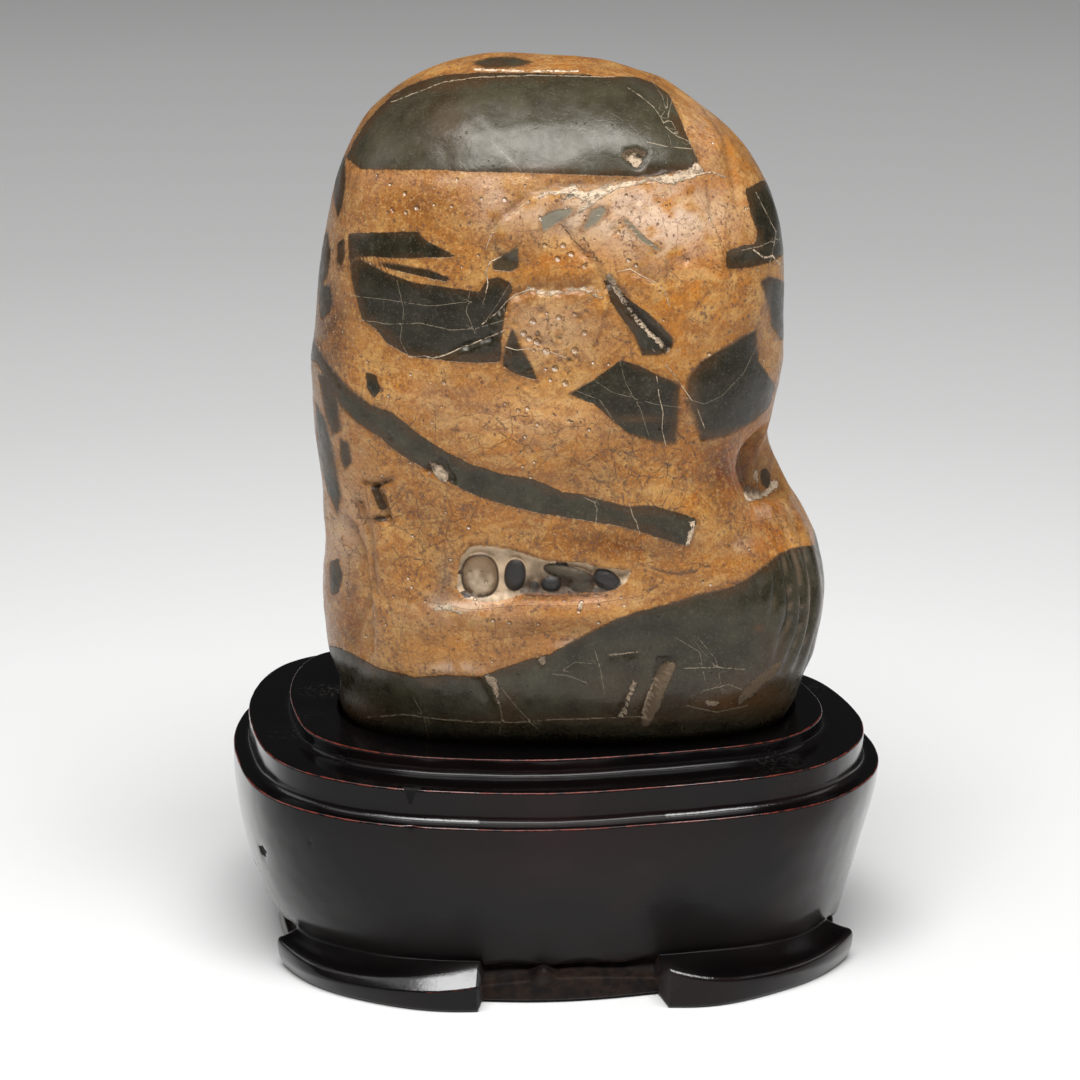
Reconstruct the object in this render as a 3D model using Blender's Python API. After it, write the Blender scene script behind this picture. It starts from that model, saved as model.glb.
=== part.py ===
"""A river-worn breccia scholar's rock standing in its carved wooden stand.

Two pieces: the stone, one natural body, and the stand, carved from one
block of wood.  Everything is in metres, +Z up.  The origin is on the ground
under the middle of the stand, and the front faces -Y.
"""
import bpy
import bmesh
import numpy as np

MM = 0.001

# ---------------------------------------------------------------- stone sizes
# The stone is an upright pillow.  At each height its four reaches from the
# axis are given; crown and base close it with a rounded fall-off.
STONE_AXIS = (0.0, -1.0)          # mm, plan position of the axis
STONE_HEART = (0.0, -1.0, 150.0)  # mm, inner point that sees the whole skin
CROWN_TOP = 247.4                 # mm, highest point
CROWN_START = 181.0               # mm, where the crown begins to close
CROWN_ROUNDNESS = 2.3
BASE_BOTTOM = 58.6                # mm, lowest point, inside the socket
BASE_START = 80.0                 # mm, where the base begins to close
BASE_ROUNDNESS = 4.0
SECTION_ROUNDNESS = 2.7           # 2 is an ellipse, more is squarer

# height, left reach, right reach, front reach, back reach (all mm)
STONE_STATIONS = (
    (58.0, 59.0, 67.0, 32.5, 34.0),
    (68.0, 60.0, 69.0, 33.5, 37.0),
    (76.0, 58.6, 69.0, 38.5, 40.0),
    (86.0, 61.4, 71.5, 43.0, 43.0),
    (100.0, 62.0, 72.2, 45.5, 44.5),
    (115.0, 62.8, 69.2, 46.5, 44.5),
    (127.0, 63.6, 62.4, 46.5, 43.5),
    (140.0, 64.2, 57.2, 46.5, 43.0),
    (152.0, 65.2, 58.4, 47.0, 43.0),
    (166.0, 65.8, 60.8, 47.5, 43.5),
    (181.0, 64.3, 60.8, 47.0, 44.0),
    (198.0, 64.0, 62.2, 47.0, 44.5),
    (215.0, 64.6, 61.6, 48.0, 45.0),
    (232.0, 65.8, 57.5, 49.0, 46.0),
    (250.0, 65.5, 50.0, 50.0, 48.0),
)
CROWN_LEAN = -5.0                 # mm, how far the crown's top leans to the left

# ------------------------------------------------------- front drawing of the stone
# Features of the face are placed on a drawing sheet of 1080 by 1080 units, as
# an eye in front of the stone sees them.
SHEET_EYE = (-4.0, -1146.0, 496.8)     # mm
SHEET_AIM = (-4.0, -8.0, 116.0)        # mm
SHEET_MIDDLE = 540.0
SHEET_UNITS = 4444.0                   # units per unit of depth

# Weathered ledges: the skin drops below each line and climbs back slowly.
LEDGES = (
    # points on the sheet, drop in mm, width of the dropped strip in units
    (((486, 246), (498, 224), (523, 202), (575, 186), (634, 181), (702, 174)), 1.5, 42.0),
    (((484, 322), (508, 304), (533, 290), (570, 290), (610, 295)), 1.3, 46.0),
    (((436, 356), (464, 346), (500, 334), (520, 346), (540, 380)), 0.8, 26.0),
    (((356, 656), (400, 673), (479, 677), (550, 654), (614, 620), (697, 595), (762, 568)), 0.4, 30.0),
)
LEDGE_STEP = 9.0      # units over which a ledge drops
GASH_SLOPE = 6.0      # units over which a gash's wall climbs
HOLLOW_SLOPE = 12.0   # units over which the pebble hollow's wall climbs
# Cracks and gashes: centre line, depth in mm, half width in units.
GASHES = (
    (((563, 224), (576, 247), (595, 263), (606, 286)), 1.0, 4.0),
    (((606, 286), (622, 312), (645, 340), (655, 354)), 2.6, 9.0),
    (((673, 662), (658, 690), (640, 730)), 1.6, 6.0),
    (((632, 681), (624, 702), (618, 719)), 1.3, 4.5),
    (((489, 683), (497, 697), (502, 710)), 1.4, 5.0),
    (((371, 486), (380, 500), (386, 520)), 1.6, 5.0),
    (((430, 470), (441, 462), (452, 480)), 1.2, 6.0),
    (((622, 160), (634, 152), (646, 166)), 1.6, 7.0),
)
# The hollow that holds pebbles, and the pebbles: centre, reach in units, rise in mm.
PEBBLE_HOLLOW = ((457, 560), (471, 546), (533, 556), (630, 570), (609, 591),
                 (560, 600), (500, 602), (456, 603))
PEBBLE_HOLLOW_DEPTH = 4.2
PEBBLES = (
    (481, 576, 18, 21, 3.6),
    (515, 575, 11, 16, 3.2),
    (567, 573, 26, 9, 2.8),
    (579, 589, 16, 8, 2.6),
    (607, 580, 12, 10, 3.0),
)
# Broad swellings and dimples of the face: centre, reach across and up, rise in mm.
SWELLINGS = (
    (700, 300, 75, 110, 1.6),
    (540, 612, 120, 17, 1.8),
    (470, 430, 120, 60, 0.8),
    (610, 680, 150, 50, 1.2),
    (752, 466, 30, 34, -8.5),
    (764, 483, 13, 13, -4.0),
    (700, 470, 40, 40, -1.4),
    (352, 575, 17, 95, -3.4),
    (757, 628, 9, 8, -2.2),
    (600, 240, 60, 30, -0.8),
    (724, 388, 34, 44, 0.9),
)
# Upright ribs on the lower right flank.
RIB_MIDDLE = (800.0, 610.0)
RIB_REACH = (34.0, 62.0)
RIB_SPACING = 13.0
RIB_RISE = 0.9

# Hollows and knobs round the sides and the back:
# direction in degrees from +X, height in mm, reach in mm, rise in mm.
FAR_HOLLOWS = (
    (62, 196, 17, -4.5), (98, 118, 20, -5.5), (134, 170, 15, -3.6),
    (78, 150, 11, -4.0), (118, 215, 14, 2.2), (48, 96, 16, 3.0),
    (152, 100, 16, 2.4), (88, 84, 15, 2.2), (168, 205, 14, -2.4),
    (12, 172, 12, -2.2), (20, 118, 14, 2.0), (106, 196, 8, -3.0),
    (184, 120, 12, -2.2), (66, 130, 9, -2.6),
)
# Ledges that run round the back: height in mm at 90 degrees, climb in mm per
# degree, first and last direction, drop in mm, width in mm.
FAR_LEDGES = (
    (142.0, -0.22, 40, 150, 2.0, 13.0),
    (206.0, 0.16, 55, 140, 1.6, 11.0),
    (100.0, 0.30, 70, 165, 1.5, 10.0),
    (176.0, 0.45, 20, 84, 1.4, 9.0),
)
LUMPS = ((34.0, 1.3, 11), (15.0, 0.6, 12), (7.0, 0.22, 13))  # cell mm, rise mm, seed
QUIET_BELOW = (66.0, 76.0)   # mm, heights between which the relief fades out
STONE_FINENESS = 7           # steps of the starting sphere
STONE_TRIANGLES = 5600

# ---------------------------------------------------------------- stand sizes
# Plan of the widest edge, anticlockwise from the right (mm).
STAND_PLAN = (
    (89.0, -7.0), (87.0, 8.0), (80.0, 27.0), (66.0, 43.0), (38.0, 56.5), (2.0, 61.2),
    (-34.0, 60.0), (-62.0, 53.5), (-78.0, 42.5), (-86.5, 26.0), (-89.0, 7.0),
    (-86.6, -12.0), (-77.9, -36.0), (-54.5, -54.3), (-25.0, -61.0), (3.0, -61.2),
    (33.0, -56.0), (67.7, -44.5), (85.4, -24.0),
)
TOP_TIER = 67.2       # mm, height of the top tread
MIDDLE_TIER = 62.2    # mm
BODY_TOP = 53.5       # mm
TOP_TIER_IN = 15.7    # mm, how far the top tier stands in from the widest edge
MIDDLE_TIER_IN = 4.3  # mm
WAIST_IN = 13.0       # mm, how far the body tapers in above the feet
WAIST_HEIGHT = 11.2   # mm
SOCKET_FLOOR = 58.2   # mm, 0.4 mm under the stone
SOCKET_CLEAR = 1.0    # mm, gap round the stone at the socket's mouth
EDGE = 0.6            # mm, softening of the tier edges
PLINTH_IN = 8.0       # mm, recessed strip between the feet
PLINTH_SIDE_IN = 3.5  # mm, how much further in it lies at the two sides
WAIST_SIDE_OUT = 2.4  # mm, how much fuller the taper is at the two sides
BELLY = (-165.0, 34.0, 3.0)  # direction and spread in degrees, fullness in mm of the left flank
PAD_IN = 23.0         # mm, inner edge of the ground contact
UNDERSIDE = 1.6       # mm, height of the hollowed underside

# First and last direction of each foot, in degrees from +X, then the end
# where its lip stands highest.
FEET = (
    (-160.0, -108.4, -108.4),
    (-62.0, -15.0, -62.0),
    (27.0, 66.0, 66.0),
    (113.0, 161.0, 113.0),
)
FOOT_LIP_LOW = 5.3    # mm, height of the lip along the foot
FOOT_LIP_RISE = 3.7   # mm, extra height at the inner end
FOOT_LIP_FADE = 13.0  # degrees over which that height falls away
FOOT_LIP_IN = 2.0     # mm, lip in from the widest edge
FOOT_LEAN = 1.4       # mm, the outer face leans in towards the ground
# Fuller stretches of the feet: direction, spread in degrees, extra reach in mm.
FOOT_FULLNESS = ((-52.0, 15.0, 5.5), (-118.0, 14.0, 2.5), (50.0, 14.0, 2.0), (130.0, 14.0, 2.0),
                 (-158.0, 12.0, -2.0), (163.0, 18.0, -6.0), (27.0, 14.0, -6.0))
FOOT_END_STEP = 0.35  # degrees, thickness of a foot's end face
APRON_WAVE = 0.8      # mm, rise and fall of the apron's lower edge
KNOB = (-100.0, 2.6, 1.9)  # direction, spread in degrees, rise in mm
STAND_COLUMNS = 58


def row(values):
    """A list of numbers, or of tuples of numbers, as an array of floats."""
    return np.array(values, dtype=float)


def smooth_step(low, high, value):
    """0 below low, 1 above high, with a smooth cubic between."""
    t = np.clip((value - low) / (high - low), 0.0, 1.0)
    return t * t * (3.0 - 2.0 * t)


def through(stations, column, height):
    """Smooth curve through the stations' values: a cubic Hermite between each
    pair, its slope at a station taken from the two neighbours."""
    z = row([s[0] for s in stations])
    v = row([s[column] for s in stations])
    slope = np.gradient(v, z)
    h = np.clip(height, z[0], z[-1])
    i = np.clip(np.searchsorted(z, h) - 1, 0, len(z) - 2)
    step = z[i + 1] - z[i]
    t = (h - z[i]) / step
    a = (1 + 2 * t) * (1 - t) ** 2 * v[i] + t * t * (3 - 2 * t) * v[i + 1]
    b = t * (1 - t) ** 2 * step * slope[i] - t * t * (1 - t) * step * slope[i + 1]
    return a + b


def lattice_noise(points, cell, seed):
    """Smooth noise from -1 to 1: random values on a cubic lattice of the given
    cell, blended between the eight corners round each point."""
    table = np.random.default_rng(seed).uniform(-1.0, 1.0, 4096)
    q = points / cell
    corner = np.floor(q).astype(np.int64)
    f = q - corner
    f = f * f * (3.0 - 2.0 * f)
    total = np.zeros(len(points))
    for dx in (0, 1):
        for dy in (0, 1):
            for dz in (0, 1):
                key = ((corner[:, 0] + dx) * 73856093) ^ ((corner[:, 1] + dy) * 19349663)
                key = (key ^ ((corner[:, 2] + dz) * 83492791)) & 4095
                wx = f[:, 0] if dx else 1.0 - f[:, 0]
                wy = f[:, 1] if dy else 1.0 - f[:, 1]
                wz = f[:, 2] if dz else 1.0 - f[:, 2]
                total += table[key] * wx * wy * wz
    return total


def stone_field(p):
    """Below 0 inside the smooth pillow, above 0 outside.

    The section is a superellipse of the four reaches, and a power of the
    height past the crown's or the base's start is added to close the ends."""
    z = p[:, 2]
    lean = CROWN_LEAN * smooth_step(205.0, 250.0, z)
    x = p[:, 0] - STONE_AXIS[0] - lean
    y = p[:, 1] - STONE_AXIS[1]
    side = np.where(x < 0, through(STONE_STATIONS, 1, z) + lean, through(STONE_STATIONS, 2, z) - lean)
    depth = np.where(y < 0, through(STONE_STATIONS, 3, z), through(STONE_STATIONS, 4, z))
    n = SECTION_ROUNDNESS
    flat = (np.abs(x / side) ** n + np.abs(y / depth) ** n) ** (1.0 / n)
    over = np.clip((z - CROWN_START) / (CROWN_TOP - CROWN_START), 0.0, None)
    under = np.clip((BASE_START - z) / (BASE_START - BASE_BOTTOM), 0.0, None)
    top = (flat ** CROWN_ROUNDNESS + over ** CROWN_ROUNDNESS) ** (1.0 / CROWN_ROUNDNESS)
    bottom = (flat ** BASE_ROUNDNESS + under ** BASE_ROUNDNESS) ** (1.0 / BASE_ROUNDNESS)
    return np.where(z > STONE_HEART[2], top, bottom) - 1.0


def cast(start, directions, reach=400.0):
    """Where rays from the start leave the pillow, by halving the interval."""
    low = np.zeros(len(directions))
    high = np.full(len(directions), reach)
    for _ in range(42):
        middle = 0.5 * (low + high)
        inside = stone_field(start + directions * middle[:, None]) < 0.0
        low = np.where(inside, middle, low)
        high = np.where(inside, high, middle)
    return start + directions * (0.5 * (low + high))[:, None]


def field_normals(p, step=0.2):
    """Outward unit normals of the pillow, from central differences of its field."""
    grad = np.zeros_like(p)
    for axis in range(3):
        move = np.zeros(3)
        move[axis] = step
        grad[:, axis] = stone_field(p + move) - stone_field(p - move)
    return grad / np.linalg.norm(grad, axis=1)[:, None]


def on_sheet(p):
    """Sheet place of each point, and how squarely its skin is seen from the eye."""
    eye = np.array(SHEET_EYE)
    forward = np.array(SHEET_AIM) - eye
    forward /= np.linalg.norm(forward)
    right = np.array((1.0, 0.0, 0.0))
    up = np.cross(right, forward)
    d = p - eye
    depth = d @ forward
    u = SHEET_MIDDLE + SHEET_UNITS * (d @ right) / depth
    v = SHEET_MIDDLE - SHEET_UNITS * (d @ up) / depth
    return u, v, -d / np.linalg.norm(d, axis=1)[:, None]


def line_distance(u, v, points):
    """Distance to a chain of points, and which side: positive below a chain
    that runs from left to right.  Beyond its ends the side is zero."""
    best = np.full(len(u), 1e9)
    side = np.zeros(len(u))
    pts = row(points)
    for i, (a, b) in enumerate(zip(pts[:-1], pts[1:])):
        along = b - a
        length = np.hypot(*along)
        t = ((u - a[0]) * along[0] + (v - a[1]) * along[1]) / length ** 2
        tc = np.clip(t, 0.0, 1.0)
        du = u - a[0] - tc * along[0]
        dv = v - a[1] - tc * along[1]
        d = np.hypot(du, dv)
        cross = (along[0] * (v - a[1]) - along[1] * (u - a[0])) / length
        past = ((i == 0) & (t < 0)) | ((i == len(pts) - 2) & (t > 1))
        closer = d < best
        best = np.where(closer, d, best)
        side = np.where(closer, np.where(past, 0.0, cross), side)
    return best, side


def area_distance(u, v, points):
    """Distance to a closed outline, negative inside it."""
    ring = tuple(points) + (points[0],)
    best, _ = line_distance(u, v, ring)
    inside = np.zeros(len(u), dtype=bool)
    for a, b in zip(ring[:-1], ring[1:]):
        if a[1] == b[1]:
            continue
        crosses = (v < a[1]) != (v < b[1])
        reach = a[0] + (v - a[1]) * (b[0] - a[0]) / (b[1] - a[1])
        inside ^= crosses & (u < reach)
    return np.where(inside, -best, best)


def face_relief(u, v):
    """Rise in mm of the front's ledges, gashes, hollow, pebbles and swellings."""
    rise = np.zeros(len(u))
    for points, drop, width in LEDGES:
        d, side = line_distance(u, v, points)
        below = np.clip(side, 0.0, None)
        rise -= drop * smooth_step(0.0, LEDGE_STEP, below) * np.exp(-((d / width) ** 2))
        rise += 0.35 * drop * np.exp(-((d / LEDGE_STEP) ** 2))
    for points, depth, half in GASHES:
        d, _ = line_distance(u, v, points)
        rise -= depth * (1.0 - smooth_step(0.2 * half, half + GASH_SLOPE, d))
    for cu, cv, ru, rv, height in SWELLINGS:
        rise += height * np.exp(-(((u - cu) / ru) ** 2) - ((v - cv) / rv) ** 2)
    hollow = area_distance(u, v, PEBBLE_HOLLOW)
    floor = -PEBBLE_HOLLOW_DEPTH * (1.0 - smooth_step(-HOLLOW_SLOPE, 0.3 * HOLLOW_SLOPE, hollow))
    for cu, cv, ru, rv, height in PEBBLES:
        far = ((u - cu) / ru) ** 2 + ((v - cv) / rv) ** 2
        dome = height * np.sqrt(np.clip(1.0 - far, 0.0, None)) - PEBBLE_HOLLOW_DEPTH
        floor = np.where(far < 1.0, np.maximum(floor, dome), floor)
    rise += floor
    off = ((u - RIB_MIDDLE[0]) / RIB_REACH[0]) ** 2 + ((v - RIB_MIDDLE[1]) / RIB_REACH[1]) ** 2
    phase = (u - 0.22 * (v - RIB_MIDDLE[1])) * 2.0 * np.pi / RIB_SPACING
    rise += RIB_RISE * np.sin(phase) * np.exp(-off)
    return rise


def far_relief(p):
    """Rise in mm of the hollows, knobs and ledges of the sides and the back."""
    turn = np.degrees(np.arctan2(p[:, 1] - STONE_AXIS[1], p[:, 0] - STONE_AXIS[0]))
    rise = np.zeros(len(p))
    for angle, height, reach, amount in FAR_HOLLOWS:
        a = np.radians(angle)
        way = np.array([[np.cos(a), np.sin(a), 0.0]])
        heart = np.array([STONE_AXIS[0], STONE_AXIS[1], height])
        centre = cast(heart, way)[0]
        d = np.linalg.norm(p - centre, axis=1)
        rise += amount * np.exp(-((d / reach) ** 2))
    for height, climb, first, last, drop, width in FAR_LEDGES:
        turned = np.where(turn < -90.0, turn + 360.0, turn)
        line = height + climb * (turned - 90.0)
        line = line + 3.0 * np.sin(np.radians(turned * 7.0))
        below = line - p[:, 2]
        ends = smooth_step(first, first + 14.0, turned) * (1.0 - smooth_step(last - 14.0, last, turned))
        rise -= drop * ends * smooth_step(0.0, 1.6, below) * np.exp(-((below / width) ** 2))
        rise += 0.3 * drop * ends * np.exp(-((below / 1.8) ** 2))
    return rise


def stone_skin(directions):
    """The stone's surface along each direction from its heart (mm): the pillow,
    moved along its own normals by the face's, the far sides' and random relief."""
    p = cast(np.array(STONE_HEART), directions)
    n = field_normals(p)
    u, v, to_eye = on_sheet(p)
    seen = smooth_step(0.02, 0.22, np.einsum("ij,ij->i", n, to_eye))
    rise = face_relief(u, v) * seen + far_relief(p) * (1.0 - seen)
    for cell, height, seed in LUMPS:
        rise += height * lattice_noise(p, cell, seed)
    rise *= smooth_step(QUIET_BELOW[0], QUIET_BELOW[1], p[:, 2])
    return p + n * rise[:, None]


def closed_spline(points, count):
    """A smooth closed curve through the points, sampled evenly along its length.

    Cubic Hermite pieces whose slopes make the second derivative continuous
    all the way round."""
    pts = row(points)
    n = len(pts)
    system = np.zeros((n, n))
    right = np.zeros((n, 2))
    for i in range(n):
        system[i, i - 1] = 1.0
        system[i, i] = 4.0
        system[i, (i + 1) % n] = 1.0
        right[i] = 3.0 * (pts[(i + 1) % n] - pts[i - 1])
    slope = np.linalg.solve(system, right)
    t = np.linspace(0.0, 1.0, 65)[:-1][:, None]
    pieces = []
    for i in range(n):
        a = pts[i]
        b = pts[(i + 1) % n]
        piece = (1 + 2 * t) * (1 - t) ** 2 * a + t * t * (3 - 2 * t) * b
        piece = piece + t * (1 - t) ** 2 * slope[i] - t * t * (1 - t) * slope[(i + 1) % n]
        pieces.append(piece)
    fine = np.vstack(pieces)
    loop = np.vstack([fine, fine[:1]])
    run = np.concatenate([[0.0], np.cumsum(np.hypot(*np.diff(loop, axis=0).T))])
    want = np.linspace(0.0, run[-1], count + 1)[:-1]
    return np.stack([np.interp(want, run, loop[:, k]) for k in (0, 1)], axis=1)


def stand_columns(count):
    """Plan points of the widest edge with their outward normals and directions.

    Even columns, and a close pair at each end of each foot, so that the feet
    end in upright faces."""
    fine = closed_spline(STAND_PLAN, 3600)
    turn = np.unwrap(np.arctan2(fine[:, 1], fine[:, 0]))
    along = np.roll(fine, -1, axis=0) - np.roll(fine, 1, axis=0)
    normal = np.stack([along[:, 1], -along[:, 0]], axis=1)
    normal /= np.linalg.norm(normal, axis=1)[:, None]
    spread = int(len(fine) / count)
    keep = list(turn[::spread])
    half = np.radians(FOOT_END_STEP)
    for first, last, _ in FEET:
        for end in (np.radians(first), np.radians(last)):
            wrapped = turn[0] + (end - turn[0]) % (2.0 * np.pi)
            keep = [a for a in keep if abs(a - wrapped) > 3.2 * half]
            keep += [wrapped - half, wrapped + half]
    keep = np.sort(row(keep))
    at = [np.interp(keep, turn, c) for c in (fine[:, 0], fine[:, 1], normal[:, 0], normal[:, 1])]
    return np.stack(at[:2], axis=1), np.stack(at[2:], axis=1), np.degrees(keep)


def foot_shares(direction):
    """1 on a foot and 0 in a gap, and the extra lip height and reach there (mm)."""
    on = np.zeros(len(direction))
    lip = np.full(len(direction), FOOT_LIP_LOW)
    reach = np.zeros(len(direction))
    for first, last, inner in FEET:
        past = (direction - first) % 360.0
        on = np.where(past < last - first, 1.0, on)
        off = np.abs((direction - inner + 180.0) % 360.0 - 180.0)
        lip += FOOT_LIP_RISE * np.exp(-off / FOOT_LIP_FADE)
    for middle, spread, extra in FOOT_FULLNESS:
        off = (direction - middle + 180.0) % 360.0 - 180.0
        reach += extra * np.exp(-((off / spread) ** 2))
    return on, lip, reach


def gap_waves(direction):
    """Wavy lower edge of the apron and the arch of the strip below it (mm)."""
    wave = APRON_WAVE * np.cos(np.radians(direction * 18.0 + 20.0))
    off = (direction - KNOB[0] + 180.0) % 360.0 - 180.0
    knob = KNOB[2] * np.exp(-((off / KNOB[1]) ** 2))
    arch = np.zeros(len(direction))
    for i, (_, last, _) in enumerate(FEET):
        start = last
        end = FEET[(i + 1) % len(FEET)][0]
        width = (end - start) % 360.0
        past = (direction - start) % 360.0
        share = np.where(past < width, past / width, 0.0)
        arch += 2.2 * np.sin(np.pi * share)
    return wave, knob, arch


def stone_ring(toward, height, clear):
    """Points round the stone at one height, each pushed out by the clearance."""
    heart = np.array([STONE_AXIS[0], STONE_AXIS[1], height])
    way = np.column_stack([toward - heart[:2], np.zeros(len(toward))])
    way /= np.linalg.norm(way, axis=1)[:, None]
    p = cast(heart, way)
    n = field_normals(p)
    n[:, 2] = 0.0
    n /= np.linalg.norm(n, axis=1)[:, None]
    return p[:, :2] + n[:, :2] * clear


def stand_rings(plan, normal, direction):
    """The stand as rings of points from the socket's floor to the underside.

    Each ring is the plan moved in by a distance, at a height; on the feet and
    in the gaps both change from column to column."""
    ones = np.ones(len(plan))

    def ring(inset, height):
        xy = plan - normal * (inset * ones)[:, None]
        return np.column_stack([xy, height * ones])

    top = ring(TOP_TIER_IN, TOP_TIER)
    mouth = stone_ring(top[:, :2], TOP_TIER, SOCKET_CLEAR)
    lip = stone_ring(top[:, :2], TOP_TIER, SOCKET_CLEAR + 0.7)
    middle = np.array(STONE_AXIS)
    turned = (direction - BELLY[0] + 180.0) % 360.0 - 180.0
    belly = BELLY[2] * np.exp(-((turned / BELLY[1]) ** 2))
    side = WAIST_SIDE_OUT * np.cos(np.radians(direction)) ** 2
    rings = [
        np.column_stack([middle + (mouth - middle) * 0.5, SOCKET_FLOOR * ones]),
        np.column_stack([mouth, SOCKET_FLOOR * ones]),
        np.column_stack([mouth, (TOP_TIER - 0.7) * ones]),
        np.column_stack([lip, TOP_TIER * ones]),
        ring(TOP_TIER_IN + EDGE, TOP_TIER),
        ring(TOP_TIER_IN, TOP_TIER - EDGE),
        ring(TOP_TIER_IN + 0.3, MIDDLE_TIER + 2.3),
        ring(TOP_TIER_IN - 0.5, MIDDLE_TIER + 0.7),
        ring(TOP_TIER_IN - 2.2, MIDDLE_TIER),
        ring(MIDDLE_TIER_IN + EDGE, MIDDLE_TIER),
        ring(MIDDLE_TIER_IN, MIDDLE_TIER - EDGE),
        ring(MIDDLE_TIER_IN + 0.3, BODY_TOP + 2.6),
        ring(MIDDLE_TIER_IN - 0.5, BODY_TOP + 0.7),
        ring(MIDDLE_TIER_IN - 2.3, BODY_TOP),
        ring(EDGE, BODY_TOP),
        ring(0.0, BODY_TOP - EDGE),
        ring(0.7 - 0.3 * belly, 47.0),
        ring(3.3 - 0.75 * belly - 0.1 * side, 37.0),
        ring(6.7 - belly - 0.35 * side, 26.0),
        ring(10.6 - 0.7 * belly - 0.8 * side, 16.0),
        ring(WAIST_IN - 0.5 - side, WAIST_HEIGHT + 1.0),
    ]
    on, lip_height, fuller = foot_shares(direction)
    wave, knob, arch = gap_waves(direction)
    off = 1.0 - on
    lip_in = FOOT_LIP_IN - fuller
    strip_top = 4.9 + arch
    strip_in = PLINTH_IN + PLINTH_SIDE_IN * np.cos(np.radians(direction)) ** 2
    rings += [
        ring(WAIST_IN - side, on * WAIST_HEIGHT + off * (9.9 + wave)),
        ring(on * (WAIST_IN + 0.5 - side) + off * 14.6, on * (WAIST_HEIGHT - 0.9) + off * 8.6),
        ring(on * (0.5 * (WAIST_IN - side) + 0.5 * lip_in) + off * (0.5 * (14.6 + strip_in) - knob),
             on * (0.30 * WAIST_HEIGHT + 0.70 * lip_height - 0.5) + off * (strip_top + 0.3 + 1.3 * knob)),
        ring(on * (lip_in + 0.9) + off * (strip_in + 0.6 - knob), on * lip_height + off * (strip_top + 0.9 * knob)),
        ring(on * lip_in + off * (strip_in - 0.6 * knob), on * (lip_height - 0.6) + off * (strip_top - 0.6)),
        ring(on * (lip_in + FOOT_LEAN) + off * strip_in, on * 0.7 + off * 1.1),
        ring(on * (lip_in + FOOT_LEAN + 0.6) + off * (strip_in + 0.7), off * 0.5),
        ring(PAD_IN, off * 0.5),
        ring(PAD_IN + 1.5, UNDERSIDE),
    ]
    return rings


def stand_mesh(name):
    """Skin between neighbouring rings, with a fan on the floor and underneath."""
    plan, normal, direction = stand_columns(STAND_COLUMNS)
    rings = stand_rings(plan, normal, direction)
    mesh = bmesh.new()
    rows = [[mesh.verts.new(p * MM) for p in ring] for ring in rings]
    first = mesh.verts.new((STONE_AXIS[0] * MM, STONE_AXIS[1] * MM, SOCKET_FLOOR * MM))
    last = mesh.verts.new((0.0, 0.0, UNDERSIDE * MM))
    count = len(plan)
    for upper, lower in zip(rows[:-1], rows[1:]):
        for i in range(count):
            j = (i + 1) % count
            mesh.faces.new((upper[i], lower[i], lower[j], upper[j]))
    for i in range(count):
        j = (i + 1) % count
        mesh.faces.new((first, rows[0][i], rows[0][j]))
        mesh.faces.new((last, rows[-1][j], rows[-1][i]))
    bmesh.ops.triangulate(mesh, faces=mesh.faces[:])
    bmesh.ops.recalc_face_normals(mesh, faces=mesh.faces[:])
    data = bpy.data.meshes.new(name)
    mesh.to_mesh(data)
    mesh.free()
    return data


def stone_mesh(name):
    """A fine sphere whose points are sent out to the stone's skin."""
    mesh = bmesh.new()
    bmesh.ops.create_icosphere(mesh, subdivisions=STONE_FINENESS, radius=1.0)
    directions = np.array([v.co for v in mesh.verts], dtype=float)
    directions /= np.linalg.norm(directions, axis=1)[:, None]
    for vert, place in zip(mesh.verts, stone_skin(directions) * MM):
        vert.co = place
    bmesh.ops.recalc_face_normals(mesh, faces=mesh.faces[:])
    data = bpy.data.meshes.new(name)
    mesh.to_mesh(data)
    mesh.free()
    return data


def finish_material(name, colour, roughness):
    """A plain surface of one colour and roughness."""
    material = bpy.data.materials.new(name)
    material.use_nodes = True
    shader = material.node_tree.nodes["Principled BSDF"]
    shader.inputs["Base Color"].default_value = (*colour, 1.0)
    shader.inputs["Roughness"].default_value = roughness
    shader.inputs["Metallic"].default_value = 0.0
    return material


def make_stone(collection):
    """The stone: one body, thinned to the faces its form needs."""
    data = stone_mesh("scholars_rock")
    data.materials.append(finish_material("polished_breccia", (0.40, 0.22, 0.075), 0.32))
    stone = bpy.data.objects.new("scholars_rock", data)
    collection.objects.link(stone)
    thin = stone.modifiers.new("fewer_faces", "DECIMATE")
    thin.decimate_type = "COLLAPSE"
    thin.ratio = STONE_TRIANGLES / len(data.polygons)
    thin.use_collapse_triangulate = True
    return stone


def make_stand(collection):
    """The stand: three stepped tiers, a tapering body and four feet, in one piece."""
    data = stand_mesh("wooden_stand")
    data.materials.append(finish_material("black_brown_lacquer", (0.018, 0.011, 0.010), 0.3))
    stand = bpy.data.objects.new("wooden_stand", data)
    collection.objects.link(stand)
    return stand


def main():
    for old in list(bpy.data.objects):
        bpy.data.objects.remove(old)
    collection = bpy.data.collections.new("scholars_rock_on_stand")
    bpy.context.scene.collection.children.link(collection)
    make_stand(collection)
    make_stone(collection)


main()
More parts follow.
